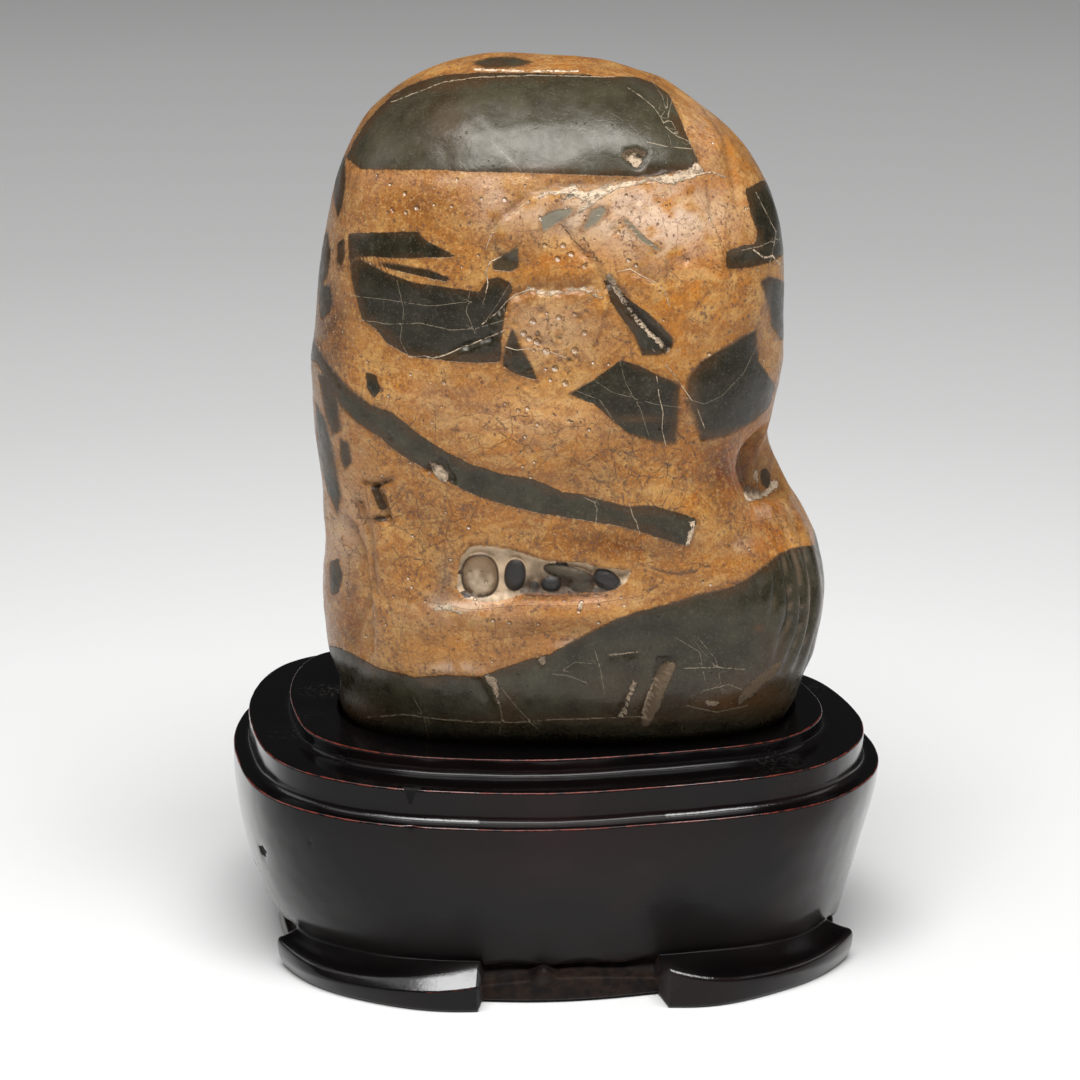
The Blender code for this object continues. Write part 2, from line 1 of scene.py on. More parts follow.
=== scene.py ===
"""A breccia scholar's rock on its lacquered stand: the finish of both pieces.

The stone and the stand are worked out as surfaces of two parameters, finer
than the solids they stand for and of the same form.  Lengths in the tables
are millimetres.  The stone's face is drawn on a sheet of 1080 by 1080 units,
as an eye in front of it sees it.
"""
import math
import bpy
import mathutils
import numpy as np
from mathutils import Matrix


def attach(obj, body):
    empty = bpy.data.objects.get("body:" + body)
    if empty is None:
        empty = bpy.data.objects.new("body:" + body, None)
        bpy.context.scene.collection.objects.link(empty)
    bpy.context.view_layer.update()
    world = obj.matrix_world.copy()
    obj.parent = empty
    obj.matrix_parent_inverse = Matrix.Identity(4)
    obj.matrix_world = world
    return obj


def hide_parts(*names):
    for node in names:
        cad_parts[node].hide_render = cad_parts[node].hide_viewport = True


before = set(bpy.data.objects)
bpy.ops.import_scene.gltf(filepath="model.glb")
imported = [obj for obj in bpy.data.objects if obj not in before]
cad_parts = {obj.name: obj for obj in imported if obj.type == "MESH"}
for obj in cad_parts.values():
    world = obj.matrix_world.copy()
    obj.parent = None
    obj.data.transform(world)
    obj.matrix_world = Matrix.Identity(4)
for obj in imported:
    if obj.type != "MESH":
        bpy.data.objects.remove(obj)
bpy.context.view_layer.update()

MM = 0.001
FAR_OFF = 50.0               # mm, a distance past every marking's reach
FAR_IN = 99.0                # mm, an inset past every finish's reach
LATTICE_PRIMES = (73856093, 19349663, 83492791)   # they mix a corner's three numbers
LATTICE_TABLE = 4096         # how many random values the noise has
HALVINGS = 32                # steps that narrow a ray's crossing down
SPLINE_STEPS = 128           # samples between two points of a closed curve

# ---- the stone's form
STONE_AXIS = (0.0, -1.0)
STONE_HEART = (0.0, -1.0, 150.0)
CROWN_TOP = 247.4
CROWN_START = 181.0
CROWN_ROUNDNESS = 2.3
BASE_BOTTOM = 58.6
BASE_START = 80.0
BASE_ROUNDNESS = 4.0
SECTION_ROUNDNESS = 2.7
CROWN_LEAN = -5.0            # how far the crown's middle moves towards +X within its outline
LEAN_HEIGHTS = (205.0, 250.0)   # heights over which it comes in

# height, left reach, right reach, front reach, back reach
STONE_STATIONS = (
    (58.0, 59.0, 67.0, 32.5, 34.0),
    (68.0, 60.0, 66.5, 33.5, 37.0),
    (76.0, 58.6, 67.6, 38.5, 40.0),
    (86.0, 61.4, 71.2, 43.0, 43.0),
    (100.0, 62.0, 72.2, 45.5, 44.5),
    (115.0, 62.8, 69.2, 46.5, 44.5),
    (127.0, 63.6, 62.4, 46.5, 43.5),
    (140.0, 64.2, 57.2, 46.5, 43.0),
    (152.0, 65.2, 58.4, 47.0, 43.0),
    (166.0, 65.8, 60.8, 47.5, 43.5),
    (181.0, 64.3, 60.8, 47.0, 44.0),
    (198.0, 64.0, 62.2, 47.0, 44.5),
    (215.0, 64.6, 61.6, 48.0, 45.0),
    (232.0, 65.8, 57.5, 49.0, 46.0),
    (250.0, 65.5, 50.0, 50.0, 48.0),
)
QUIET_BELOW = (66.0, 76.0)   # heights between which the relief fades out
CUBE_STEPS = 128             # cells along a cube face's edge
FRONT_CROWDING = (0.0, -0.38, 0.10)   # how much closer the points lie at the front and top

SHEET_EYE = (-4.0, -1146.0, 496.8)
SHEET_AIM = (-4.0, -8.0, 116.0)
SHEET_SIDE = 1080.0
SHEET_MIDDLE = 540.0
SHEET_UNITS = 4444.0         # units per unit of depth
FILM_WIDTH = 36.0
UNIT = 0.27                  # mm on the stone for one unit of the sheet
TURNED_AWAY = 42.0           # mm by which what lies past the outline counts as farther

# ---- relief of the face
# Weathered ledges: chain of points, drop in mm of the skin below it (below 0 it
# stands proud and its broken edge faces up), width of the moved strip in units.
LEDGES = (
    (((342, 512), (346, 522), (356, 552), (365, 582), (371, 614), (371, 640), (368, 664)), 2.6, 12),
    (((486, 246), (490, 236), (498, 224), (511, 213), (523, 202), (536, 195), (550, 191), (564, 189),
     (575, 185), (587, 190), (603, 188), (615, 184), (634, 181), (662, 175), (683, 177),
     (702, 174)), -2.0, 40.0),
    (((484, 322), (498, 314), (508, 304), (515, 296), (533, 290), (550, 292), (570, 290), (592, 289),
     (610, 295)), -1.7, 46.0),
    (((436, 357), (464, 347), (500, 334)), -0.7, 22.0),
    (((622, 271), (630, 269), (640, 275), (650, 280), (658, 284), (665, 291)), -0.8, 16.0),
    (((566, 226), (548, 212), (538, 208)), -0.4, 16.0), (((506, 344), (530, 340), (560, 352)), -0.4, 22.0),
    (((356, 656), (400, 673), (479, 677), (550, 654), (614, 620), (697, 595), (762, 568)), 0.3, 30.0),
)
LEDGE_STEP = 2.2             # units over which the skin drops
LEDGE_FADE = 22.0            # units from its end over which a ledge comes up
GROOVE_REACH = 9.0           # width of the groove along a ledge that stands proud
# Cracks and gashes: centre line, depth in mm, half width in units.
GASHES = (
    (((563, 224), (576, 247), (595, 263), (606, 286)), 0.9, 2.5),
    (((610, 280), (628, 306), (652, 330), (668, 346)), 1.5, 3.5),
    (((606, 284), (612, 300), (626, 322), (640, 346)), 0.5, 4.0),
    (((371, 486), (380, 500), (386, 520)), 1.7, 3.5), (((361, 484), (374, 487), (388, 482)), 1.1, 2.0),
    (((372, 519), (387, 520)), 1.1, 1.5), (((430, 470), (441, 462), (452, 480)), 1.2, 4.5),
    (((352, 505), (366, 540), (372, 590)), 0.9, 3.5), (((444, 357), (464, 347), (497, 336)), 0.7, 3.0),
    (((704, 104), (717, 124), (726, 152), (733, 180), (738, 205)), 0.7, 2.5),
    (((610, 655), (634, 652)), 0.8, 1.5), (((466, 110), (498, 142), (514, 160)), 0.25, 1.0),
    (((686, 402), (694, 420), (703, 440)), 0.7, 2.0),
    (((524, 598), (545, 599), (560, 599), (604, 595)), 0.6, 2.0),
    (((362, 600), (352, 620), (346, 648)), 0.8, 3.0),
)
GASH_SLOPE = 2.5             # width of a gash's sloping wall in units
PEBBLE_HOLLOW = (
    (470, 546), (490, 546), (508, 549), (525, 554), (548, 561), (586, 563), (600, 568), (632, 570),
    (627, 582), (612, 591), (602, 592), (586, 593), (559, 594), (535, 593), (522, 594), (512, 598),
    (498, 602), (480, 602), (464, 598), (457, 588), (458, 569), (462, 556),
)
PEBBLE_HOLLOW_DEPTH = 2.2    # mm
HOLLOW_SLOPE = 4.5           # width of the hollow's wall in units
# Other hollows: outline, depth in mm, width of the wall in units.
HOLLOWS = (
    (((772, 418), (762, 434), (752, 446), (744, 458), (742, 470), (745, 482), (754, 496), (772, 501),
     (790, 494), (808, 480), (798, 440)), 4.2, 7.0),
    (((782, 478), (787, 472), (794, 476), (795, 487), (790, 493), (783, 490)), 2.6, 3.0),
    (((782, 464), (788, 464), (789, 472), (783, 473)), 1.8, 2.5),
    (((624, 152), (634, 149), (645, 153), (647, 159), (642, 169), (635, 170), (627, 162)), 1.3, 2.5),
    (((470, 677), (481, 676), (489, 690), (500, 718), (497, 722), (484, 700), (474, 688)), 0.9, 3.5),
    (((654, 655), (676, 656), (668, 668), (656, 690), (648, 714), (640, 730), (636, 722), (645, 700),
     (652, 676)), 1.5, 4.0),
    (((632, 681), (636, 684), (628, 702), (621, 718), (616, 720), (622, 700)), 1.2, 3.5),
)
# Pebbles in the hollow: centre, reach across and up in units, rise in mm, turn in degrees, tone.
PEBBLES = (
    (480, 576, 18.5, 21.5, 1.7, -4, 1.0), (515, 575, 10.5, 15.5, 2.0, 4, 0.1),
    (569, 573.5, 26, 7, 1.8, 14, 0.55), (551, 584, 10, 7.5, 2.2, 0, 0.0), (581, 587, 13, 5.5, 1.5, 4, 0.45),
    (607, 580, 14.5, 9.5, 2.3, 32, 0.08), (464, 596, 6, 2.6, 1.0, 12, 0.2), (534, 587, 5, 6, 1.0, 0, 0.35),
    (561, 563.5, 6, 2.2, 1.6, 0, 0.1), (458, 572, 2.2, 1.6, 0.5, 0, 0.1), (600, 590, 6, 2.5, 0.9, 0, 0.3),
)
PEBBLE_SQUARENESS = 2.35     # 2 is an ellipse
# Browner stretches of the cement, partly stains and partly a painted shadow along its lower edge under the
# pebbles: centre, reach across and up in units, amount.
STAINS_AND_SHADOW = (
    (572, 582, 36, 13, 1.3), (565, 592, 46, 3.5, 1.6), (531, 586, 11, 9, 1.0), (480, 602, 26, 4, 0.7),
    (535, 570, 10, 8, 0.45), (461, 566, 5, 12, 0.5), (470, 556, 10, 5, -0.3),
)
# Broad swellings and dimples: centre, reach across and up in units, rise in mm.
SWELLINGS = (
    (714, 150, 6, 18, 0.8), (706, 164, 8, 6, 0.7), (700, 196, 12, 9, -0.5), (722, 232, 6, 26, 0.6),
    (694, 130, 7, 10, 0.5), (700, 300, 75, 110, 1.6), (540, 614, 120, 14, 2.2), (470, 430, 120, 60, 0.8),
    (610, 680, 150, 50, 1.2), (768, 466, 24, 32, -5.0), (786, 470, 9, 11, -2.4), (700, 470, 40, 40, -1.4),
    (352, 575, 17, 95, -3.4), (600, 240, 60, 30, -0.8), (724, 388, 34, 44, 0.9), (541, 661, 5, 5, -1.0),
)
# Flutes of the bed's right edge, in units, and their rise in mm.
RIB_MIDDLE = (800.0, 596.0)
RIB_REACH = (28.0, 62.0)
RIB_SPACING = 12.5
RIB_RISE = 2.7
RIB_BOW = 0.0034             # how far the flutes bow, per square unit of height
# Single pits: centre, radius in units, depth in mm.
PITS = (
    (541, 310, 5, 0.7), (537, 335, 4, 0.6), (579, 316, 4, 0.6), (559, 337, 4, 0.6), (613, 230, 6, 0.7),
    (604, 247, 4, 0.5), (637, 201, 5, 0.7), (640, 217, 4, 0.5), (685, 260, 6, 0.8), (520, 214, 4, 0.4),
    (569, 360, 4, 0.5), (530, 368, 4, 0.5), (596, 345, 4, 0.5), (515, 322, 4, 0.5), (700, 232, 4, 0.5),
)
# Fields of scattered small pits: corners of a box on the sheet, how many, seed.
PIT_FIELDS = (
    ((505, 298, 606, 400), 44, 21), ((500, 195, 700, 280), 36, 22), ((400, 180, 480, 300), 16, 23),
    ((380, 500, 470, 650), 26, 24), ((640, 440, 740, 590), 22, 25), ((340, 360, 660, 470), 26, 26),
)
FRAGMENT_PROUD = 0.10        # mm, how far the hard fragments stand out
CRUST_PROUD = 0.13           # mm, and the thick crusts, about
# Broad and fine unevenness: size and height in mm, seed.
LUMPS = ((34.0, 1.3, 11), (15.0, 0.6, 12), (7.0, 0.22, 13), (2.6, 0.06, 14))

# ---- relief of the far sides
# Hollows and knobs: direction in degrees, height, reach and rise in mm.
FAR_HOLLOWS = (
    (62, 196, 17, -4.5), (98, 118, 20, -5.5), (134, 170, 15, -3.6), (78, 150, 11, -4.0),
    (118, 215, 14, 2.2), (48, 96, 16, 3.0), (152, 100, 16, 2.4), (88, 84, 15, 2.2), (168, 205, 14, -2.4),
    (-8, 138, 8, -3.8), (12, 172, 12, -2.2), (20, 118, 14, 2.0), (106, 196, 8, -3.0), (184, 120, 12, -2.2),
    (66, 130, 9, -2.6),
)
# Ledges: height, climb per degree, first and last direction, drop and width in mm.
FAR_LEDGES = (
    (142.0, -0.22, 40, 150, 2.0, 13.0), (206.0, 0.16, 55, 140, 1.6, 11.0), (100.0, 0.3, 70, 165, 1.5, 10.0),
    (176.0, 0.45, 20, 84, 1.4, 9.0),
)

# ---- drawing of the face
# Dark fragments: tone (0 dark, 1 paler) and outline on the sheet.
FRAGMENTS = (
    (0.75, ((330, 150), (348, 160), (361, 169), (384, 170), (429, 170), (479, 172), (523, 173), (580, 175),
     (635, 177), (665, 175), (676, 171), (695, 169), (698, 161), (692, 147), (683, 126), (677, 111),
     (669, 95), (654, 83), (636, 77), (611, 77), (576, 77), (532, 76), (479, 78), (443, 83), (414, 90),
     (396, 98), (378, 109), (366, 122), (356, 138), (349, 152), (344, 160))),
    (0.35, ((391, 96), (404, 88), (420, 81), (443, 75), (479, 72.5), (532, 73), (600, 75), (577, 77.5),
     (532, 76.5), (479, 78.5), (443, 83.5), (414, 92), (396, 100), (380, 108))),
    (0.5, ((471, 62), (490, 57), (515, 57), (534, 62), (515, 68), (485, 68))),
    (0.1, ((348, 234), (366, 233), (400, 232), (418, 232), (425, 240), (446, 251), (458, 257), (430, 258),
     (400, 259), (375, 257), (360, 257), (349, 261))),
    (0.1, ((373, 262), (398, 264), (428, 270), (453, 279), (446, 282), (414, 275), (388, 269))),
    (0.05, ((349, 261), (360, 259), (371, 264), (389, 274), (414, 283), (454, 288), (479, 292), (487, 280),
     (498, 277), (510, 283), (513, 290), (509, 297), (504, 318), (502, 334), (500, 362), (479, 363),
     (457, 362), (421, 358), (407, 355), (387, 343), (377, 330), (362, 319), (354, 290))),
    (0.15, ((512, 328), (520, 346), (530, 363), (538, 381), (520, 376), (503, 367), (506, 345))),
    (1.4, ((492, 263), (505, 254), (518, 245), (519, 267), (512, 272), (493, 270))),
    (0.45, ((300, 332), (314, 341), (327, 362), (348, 387), (371, 405), (393, 413), (421, 436), (443, 450),
     (470, 464), (502, 474), (532, 479), (550, 486), (562, 492), (580, 494), (600, 500), (629, 507),
     (647, 505), (672, 511), (695, 518), (697, 522), (688, 545), (683, 545), (656, 537), (636, 530),
     (611, 525), (583, 520), (562, 517), (532, 512), (502, 504), (479, 497), (452, 484), (432, 471),
     (414, 463), (400, 454), (379, 437), (354, 420), (341, 407), (330, 386), (318, 364), (300, 350))),
    (0.2, ((568, 394), (594, 380), (606, 371), (620, 360), (640, 366), (660, 376), (680, 385), (678, 407),
     (676, 444), (654, 442), (629, 434), (612, 420), (594, 404))),
    (0.12, ((757, 329), (740, 338), (718, 351), (701, 362), (688, 377), (686, 393), (690, 405), (696, 420),
     (701, 441), (710, 439), (727, 436), (754, 421), (769, 407), (775, 386), (766, 372), (758, 361))),
    (0.1, ((604, 279), (616, 288), (629, 300), (647, 312), (662, 326), (673, 339), (672, 348), (665, 354),
     (642, 356), (638, 345), (634, 334), (622, 318), (611, 302))),
    (0.15, ((745, 190), (763, 180), (780, 190), (800, 236), (786, 252), (770, 263), (748, 268), (726, 269),
     (726, 252), (742, 246), (755, 244), (758, 233), (751, 214))),
    (0.2, ((760, 281), (769, 276), (779, 279), (800, 290), (800, 330), (781, 340), (771, 325), (768, 303))),
    (4.5, ((540, 218), (556, 210), (573, 208), (571, 214), (553, 226), (543, 232))),
    (4.5, ((592, 210), (603, 206), (607, 210), (598, 222), (593, 226), (583, 230))),
    (3.3, ((622, 219), (626, 219), (646, 238), (662, 249), (656, 250), (640, 240))),
    (4.5, ((574, 190), (584, 192), (566, 200), (556, 205))),
    (0.2, ((336, 156), (344, 150), (346, 180), (343, 204), (338, 219), (334, 200))),
    (0.25, ((316, 240), (328, 232), (331, 252), (328, 276), (320, 290), (314, 270))),
    (0.2, ((337, 243), (344, 238), (345, 256), (341, 267), (337, 262))),
    (0.3, ((318, 288), (330, 284), (333, 300), (330, 312), (321, 320))),
    (0.3, ((318, 374), (330, 376), (338, 400), (341, 430), (333, 436), (325, 412))),
    (0.25, ((316, 402), (325, 418), (334, 452), (341, 496), (338, 516), (328, 492), (318, 452))),
    (0.2, ((340, 438), (349, 443), (352, 462), (345, 470), (340, 456))),
    (0.25, ((366, 372), (376, 375), (381, 390), (374, 398), (367, 388))),
    (0.3, ((330, 562), (339, 558), (343, 576), (339, 592), (331, 596))),
    (0.0, ((371, 489), (378, 488), (387, 506), (385, 511), (379, 509))),
    (0.0, ((373, 519), (380, 516.5), (388, 518), (388, 521), (378, 521.5))),
    (0.0, ((362, 483), (372, 487), (380, 484), (389, 480), (387, 484), (377, 488), (368, 487))),
    (0.0, ((761, 470), (766, 468), (770, 475), (771, 484), (767, 489), (762, 485), (760, 477))),
)
# Upper edge of the dark bed at the stone's foot, from left to right.
BED_EDGE = (
    (300, 640), (340, 648), (357, 656), (366, 661), (380, 669), (400, 673), (414, 677), (443, 675),
    (479, 677), (496, 671), (523, 661), (550, 654), (573, 641), (592, 631), (614, 620), (640, 611),
    (669, 604), (697, 595), (725, 589), (743, 582), (762, 568), (779, 554), (793, 548), (814, 545),
    (850, 540),
)
BED_TONE = 0.42
# The same edge round the back: height over the axis and climb per mm towards +X.
BED_BACK = (97.0, 0.25)

# Pale veins and dark cracks: chains on the sheet and half width in mm.
PALE_VEINS = (
    (((492, 142), (504, 154), (523, 173)), 0.05),
    (((631, 90), (645, 100), (654, 108), (662, 120), (665, 127), (676, 136), (687, 141)), 0.11),
    (((650, 143), (668, 147), (692, 149)), 0.12),
    (((395, 101), (410, 95.5), (443, 82.5), (479, 77.5), (532, 75.5), (576, 76.5), (611, 77)), 0.13),
    (((654, 84), (662, 96), (666, 110), (668, 124)), 0.07), (((672, 100), (668, 116), (676, 130)), 0.06),
    (((365, 92), (380, 96), (396, 92)), 0.07), (((503, 690), (516, 706), (536, 727)), 0.07),
    (((499, 700), (502, 716), (500, 732)), 0.08), (((560, 672), (575, 662), (596, 664)), 0.05),
    (((680, 640), (700, 652), (704, 676)), 0.05), (((740, 440), (738, 462), (744, 486), (746, 500)), 0.08),
    (((728, 452), (732, 476), (740, 500)), 0.07), (((354, 296), (390, 300), (430, 306), (468, 302)), 0.06),
    (((470, 290), (466, 312), (474, 330)), 0.07), (((512, 280), (500, 300), (488, 318)), 0.06),
    (((594, 502), (599, 499)), 0.07), (((706, 690), (728, 684), (748, 692)), 0.08),
    (((690, 706), (716, 712), (744, 706)), 0.07),
    (((360, 320), (390, 324), (421, 323), (450, 330), (478, 328), (504, 320)), 0.08),
    (((398, 284), (404, 310), (400, 340), (408, 355)), 0.05),
    (((372, 716), (404, 714), (441, 719), (480, 722), (520, 722), (560, 719), (600, 718),
     (650, 716)), 0.11),
    (((596, 654), (600, 668), (604, 690)), 0.06), (((556, 674), (570, 676), (584, 682)), 0.06),
    (((612, 654), (634, 652)), 0.21), (((688, 668), (712, 667), (741, 669)), 0.11),
    (((594, 380), (612, 392), (634, 398), (654, 404), (678, 407)), 0.05),
    (((620, 362), (626, 384), (640, 408), (650, 440)), 0.045), (((580, 392), (600, 400), (612, 418)), 0.06),
    (((686, 398), (704, 404), (722, 396), (744, 372), (757, 345)), 0.05),
    (((588, 499), (594, 502), (597, 508), (596, 520)), 0.1),
    (((630, 507), (633, 516), (637, 524), (639, 531)), 0.14), (((415, 700), (424, 716), (430, 740)), 0.05),
    (((700, 640), (716, 660), (722, 690)), 0.05), (((757, 196), (766, 214), (776, 232), (770, 262)), 0.13),
    (((744, 250), (760, 246), (776, 240)), 0.12),
)
DARK_CRACKS = (
    (((470, 440), (486, 470), (480, 500), (462, 540)), 0.06),
    (((560, 446), (574, 452), (590, 450), (606, 462), (618, 480)), 0.06),
    (((590, 450), (600, 436), (616, 430)), 0.05), (((574, 452), (570, 468), (580, 482)), 0.05),
    (((350, 340), (362, 356), (384, 366), (420, 372), (452, 380)), 0.05),
    (((640, 560), (668, 552), (700, 556), (738, 540)), 0.06),
    (((390, 560), (410, 590), (402, 630), (410, 664)), 0.06),
    (((430, 602), (470, 610), (520, 606), (580, 606), (640, 596)), 0.08),
    (((660, 210), (668, 240), (690, 262), (722, 272)), 0.05), (((700, 196), (716, 230), (726, 262)), 0.05),
    (((450, 180), (462, 204), (486, 222)), 0.05), (((690, 440), (700, 470), (716, 492), (748, 506)), 0.07),
    (((520, 390), (540, 404), (566, 410)), 0.05), (((300, 500), (330, 520), (350, 560), (346, 610)), 0.07),
    (((720, 520), (746, 524), (780, 516), (806, 520)), 0.06),
    (((484, 640), (520, 636), (560, 630), (600, 612)), 0.05), (((436, 418), (435, 436), (434, 452)), 0.11),
    (((500, 225), (520, 232), (540, 230), (560, 224)), 0.06),
    # the next line is a painted shadow under the pebbles along the hollow's lower edge
    (((523, 592.5), (540, 594), (560, 594.5), (586, 594), (604, 591.5)), 0.62),
    (((655, 568), (668, 572), (680, 574), (694, 571)), 0.45), (((736, 583), (742, 582)), 0.4),
    (((650, 590), (655, 588)), 0.4), (((703, 566), (707, 566)), 0.5), (((596, 480), (606, 482)), 0.4),
    (((640, 530), (641, 548), (638, 562)), 0.12), (((684, 548), (682, 560), (676, 570)), 0.08),
    (((606, 452), (618, 446), (630, 458), (628, 476)), 0.07), (((630, 458), (646, 462), (660, 456)), 0.06),
    (((596, 420), (604, 436), (600, 452)), 0.06), (((560, 424), (576, 430), (584, 444)), 0.06),
    (((664, 450), (668, 472), (662, 494)), 0.07), (((690, 440), (682, 462), (686, 486)), 0.06),
    (((740, 428), (738, 450), (745, 480), (748, 500)), 0.06), (((724, 440), (728, 470), (736, 496)), 0.05),
    (((386, 520), (402, 530), (420, 528), (430, 544)), 0.08), (((402, 530), (410, 512), (428, 508)), 0.06),
    (((420, 528), (418, 548), (426, 566)), 0.06), (((430, 480), (446, 492), (452, 512), (446, 536)), 0.07),
    (((452, 512), (470, 516), (480, 530)), 0.06), (((560, 224), (572, 238), (584, 250), (597, 261)), 0.2),
    (((585, 240), (591, 250), (598, 260)), 0.35), (((522, 404), (530, 420), (548, 424), (560, 440)), 0.05),
    (((480, 420), (492, 430), (508, 428)), 0.05),
)
# Cream crusts: chain on the sheet and half width in mm.
CRUSTS = (
    (((487, 246), (490, 237), (498, 226), (511, 214), (524, 204)), 0.12),
    (((700, 174), (712, 172), (722, 176)), 0.24),
    (((485, 322), (490, 318), (498, 312), (506, 302), (515, 295), (526, 291)), 0.2),
    (((622, 271), (630, 269), (640, 275), (650, 280), (658, 284), (665, 291), (668, 302)), 0.16),
    (((498, 258), (490, 262), (486, 272), (488, 284), (484, 300)), 0.18),
    (((433, 358), (446, 355), (458, 349), (466, 346), (484, 339), (501, 332)), 0.22),
    (((412, 357), (424, 356), (433, 358)), 0.16), (((612, 655), (634, 652)), 0.22),
    # the next line is a painted highlight along the cap's upper edge
    (((478, 69.5), (500, 70.5), (530, 71), (575, 71)), 0.34),
    (((506, 347), (516, 350), (530, 349), (546, 350), (566, 358)), 0.14),
    (((655, 352), (672, 372), (686, 392), (697, 408), (703, 424)), 0.14),
    (((657, 380), (659, 396), (663, 412), (662, 430), (665, 442)), 0.13),
    (((756, 252), (764, 258), (772, 256), (780, 264)), 0.26),
)
# Broken faces and thicker crusts: paleness and outline on the sheet.
CRUST_PATCHES = (
    (0.95, ((524, 204), (532, 198), (540, 194), (548, 191), (556, 191), (563, 189), (569, 187), (573, 182),
     (577, 187), (582, 191), (589, 192), (595, 189), (601, 188), (608, 184), (615, 186), (622, 183),
     (630, 180), (637, 181), (640, 184), (630, 187), (620, 187), (612, 191), (604, 193), (598, 197),
     (590, 197), (584, 201), (577, 197), (572, 194), (563, 193), (556, 196), (548, 194), (541, 197),
     (534, 200), (527, 206))),
    (0.6, ((640, 180), (648, 177), (656, 178), (668, 175), (676, 178), (688, 172), (697, 168), (704, 170),
     (700, 176), (690, 177), (680, 181), (668, 178), (658, 181), (648, 180), (642, 183))),
    (0.95, ((524, 291), (530, 287), (535, 289), (541, 291), (549, 292), (556, 290), (564, 291), (571, 287),
     (577, 290), (584, 287), (590, 289), (596, 292), (603, 297), (600, 299), (592, 294), (583, 291),
     (572, 292), (562, 294), (550, 295), (540, 294), (530, 291), (525, 294))),
    (0.9, ((605, 273), (610, 273), (615, 281), (620, 288), (623, 296), (630, 306), (634, 312), (642, 322),
     (650, 330), (660, 339), (666, 346), (662, 347), (655, 341), (648, 336), (644, 330), (636, 322),
     (630, 311), (624, 304), (617, 295), (611, 284))),
    (0.9, ((592, 191), (600, 189), (611, 188), (616, 187), (610, 193), (602, 197), (596, 203), (588, 207),
     (580, 212), (577, 213), (582, 206), (588, 201))),
    (0.9, ((627, 158), (631, 155), (636, 157), (641, 159), (644, 160), (641, 164), (639, 168), (634, 167),
     (630, 163))),
    (0.0, ((623, 153), (627, 150), (634, 149), (640, 151), (647, 152), (644, 157), (640, 158), (635, 156),
     (630, 154), (627, 158), (624, 161), (623, 157))),
    (0.85, ((656, 178), (662, 175), (672, 175), (680, 171), (688, 170), (694, 164), (698, 163), (701, 168),
     (698, 175), (690, 180), (682, 179), (674, 184), (664, 183), (658, 182))),
    # the next patch is a painted glint on the shelf under the pebble hollow
    (1.0, ((578, 603), (582, 603.5), (583, 608), (579, 610))),
    (0.8, ((427, 610), (436, 607), (448, 603), (453, 604), (453, 608), (460, 611), (473, 611), (473, 614),
     (460, 614), (448, 609), (436, 611))),
    (0.0, ((742, 690), (752, 681), (764, 672), (776, 662), (783, 664), (772, 677), (760, 688), (748, 698),
     (738, 704))),
    (0.9, ((688, 522), (696, 519), (695, 528), (692, 536), (690, 544), (685, 546), (688, 537), (690, 530))),
    (0.7, ((430, 462), (437, 463), (445, 470), (449, 476), (447, 483), (438, 478), (432, 470))),
    (0.5, ((482, 674), (490, 674), (496, 678), (499, 690), (500, 704), (497, 704), (494, 690), (488, 682))),
    (0.05, ((660, 664), (668, 660), (676, 664), (672, 676), (665, 692), (659, 708), (651, 722), (645, 728),
     (640, 722), (646, 706), (650, 690), (655, 674))),
    (0.65, ((660, 664), (664, 664), (658, 676), (653, 690), (648, 705), (644, 716), (641, 716), (645, 702),
     (650, 686))),
    (0.75, ((634, 680), (637, 681), (633, 692), (628, 704), (627, 714), (620, 719), (618, 717), (623, 708),
     (627, 694))),
    (0.25, ((704, 701), (712, 700), (720, 702), (714, 706), (706, 706))),
    (0.4, ((536, 658), (540, 655), (545, 657), (546, 662), (542, 665), (537, 663))),
    (1.0, ((757, 463), (766, 463), (772, 469), (774, 478), (781, 478), (779, 487), (769, 495), (758, 500),
     (747, 501), (743, 494), (752, 489), (758, 491), (764, 492), (769, 487), (771, 478), (767, 469),
     (761, 467), (758, 476), (759, 486), (754, 483), (753, 471))),
    (0.15, ((746, 484), (752, 488), (760, 489), (764, 493), (757, 498), (748, 498), (744, 492))),
)
# Soft pinkish-cream tints of the matrix, partly its own tone and partly painted sheen and highlights,
# chiefly right of the cap and on the shelf under the pebble hollow: centre, reach across and up in units,
# amount.
BLUSHES_AND_SHEEN = (
    (450, 180, 90, 8, 0.3), (560, 212, 60, 22, 0.9), (655, 218, 64, 36, 1.4), (545, 330, 50, 30, 0.4),
    (430, 395, 60, 24, 0.15), (470, 610, 60, 16, 0.4), (455, 606, 30, 4, 1.0), (540, 420, 80, 30, 0.2),
    (455, 668, 26, 5, 1.0), (575, 644, 26, 5, 0.9), (350, 540, 12, 40, 0.5), (705, 120, 20, 40, 0.4),
    (600, 600, 40, 10, 0.4), (770, 512, 20, 8, 0.8), (706, 410, 14, 20, 0.7), (490, 200, 20, 26, 0.6),
    (676, 536, 16, 8, 0.6), (740, 545, 16, 8, 0.5),
)
FLAMES = (
    (690, 310, 40, 60, 0.8), (560, 260, 40, 30, 0.7), (400, 290, 36, 30, 0.4), (600, 470, 80, 26, 0.6),
    (740, 480, 44, 64, 1.5), (770, 530, 40, 24, 0.8), (500, 440, 80, 30, 0.5), (765, 445, 16, 34, 1.5),
    (500, 640, 80, 16, 0.6), (350, 440, 30, 60, 0.4), (740, 150, 40, 50, 0.6), (650, 560, 60, 20, 0.6),
    (440, 500, 60, 50, 0.5), (560, 560, 80, 14, 0.3), (760, 520, 50, 26, 0.9), (720, 300, 50, 90, 0.5),
    (360, 330, 30, 60, 0.5), (540, 50, 90, 14, 0.8), (700, 440, 30, 40, 0.6), (400, 380, 24, 16, 0.7),
    (500, 600, 90, 30, 0.3), (762, 448, 16, 34, 1.0), (560, 598, 50, 5, 1.0), (610, 235, 30, 14, 0.4),
)
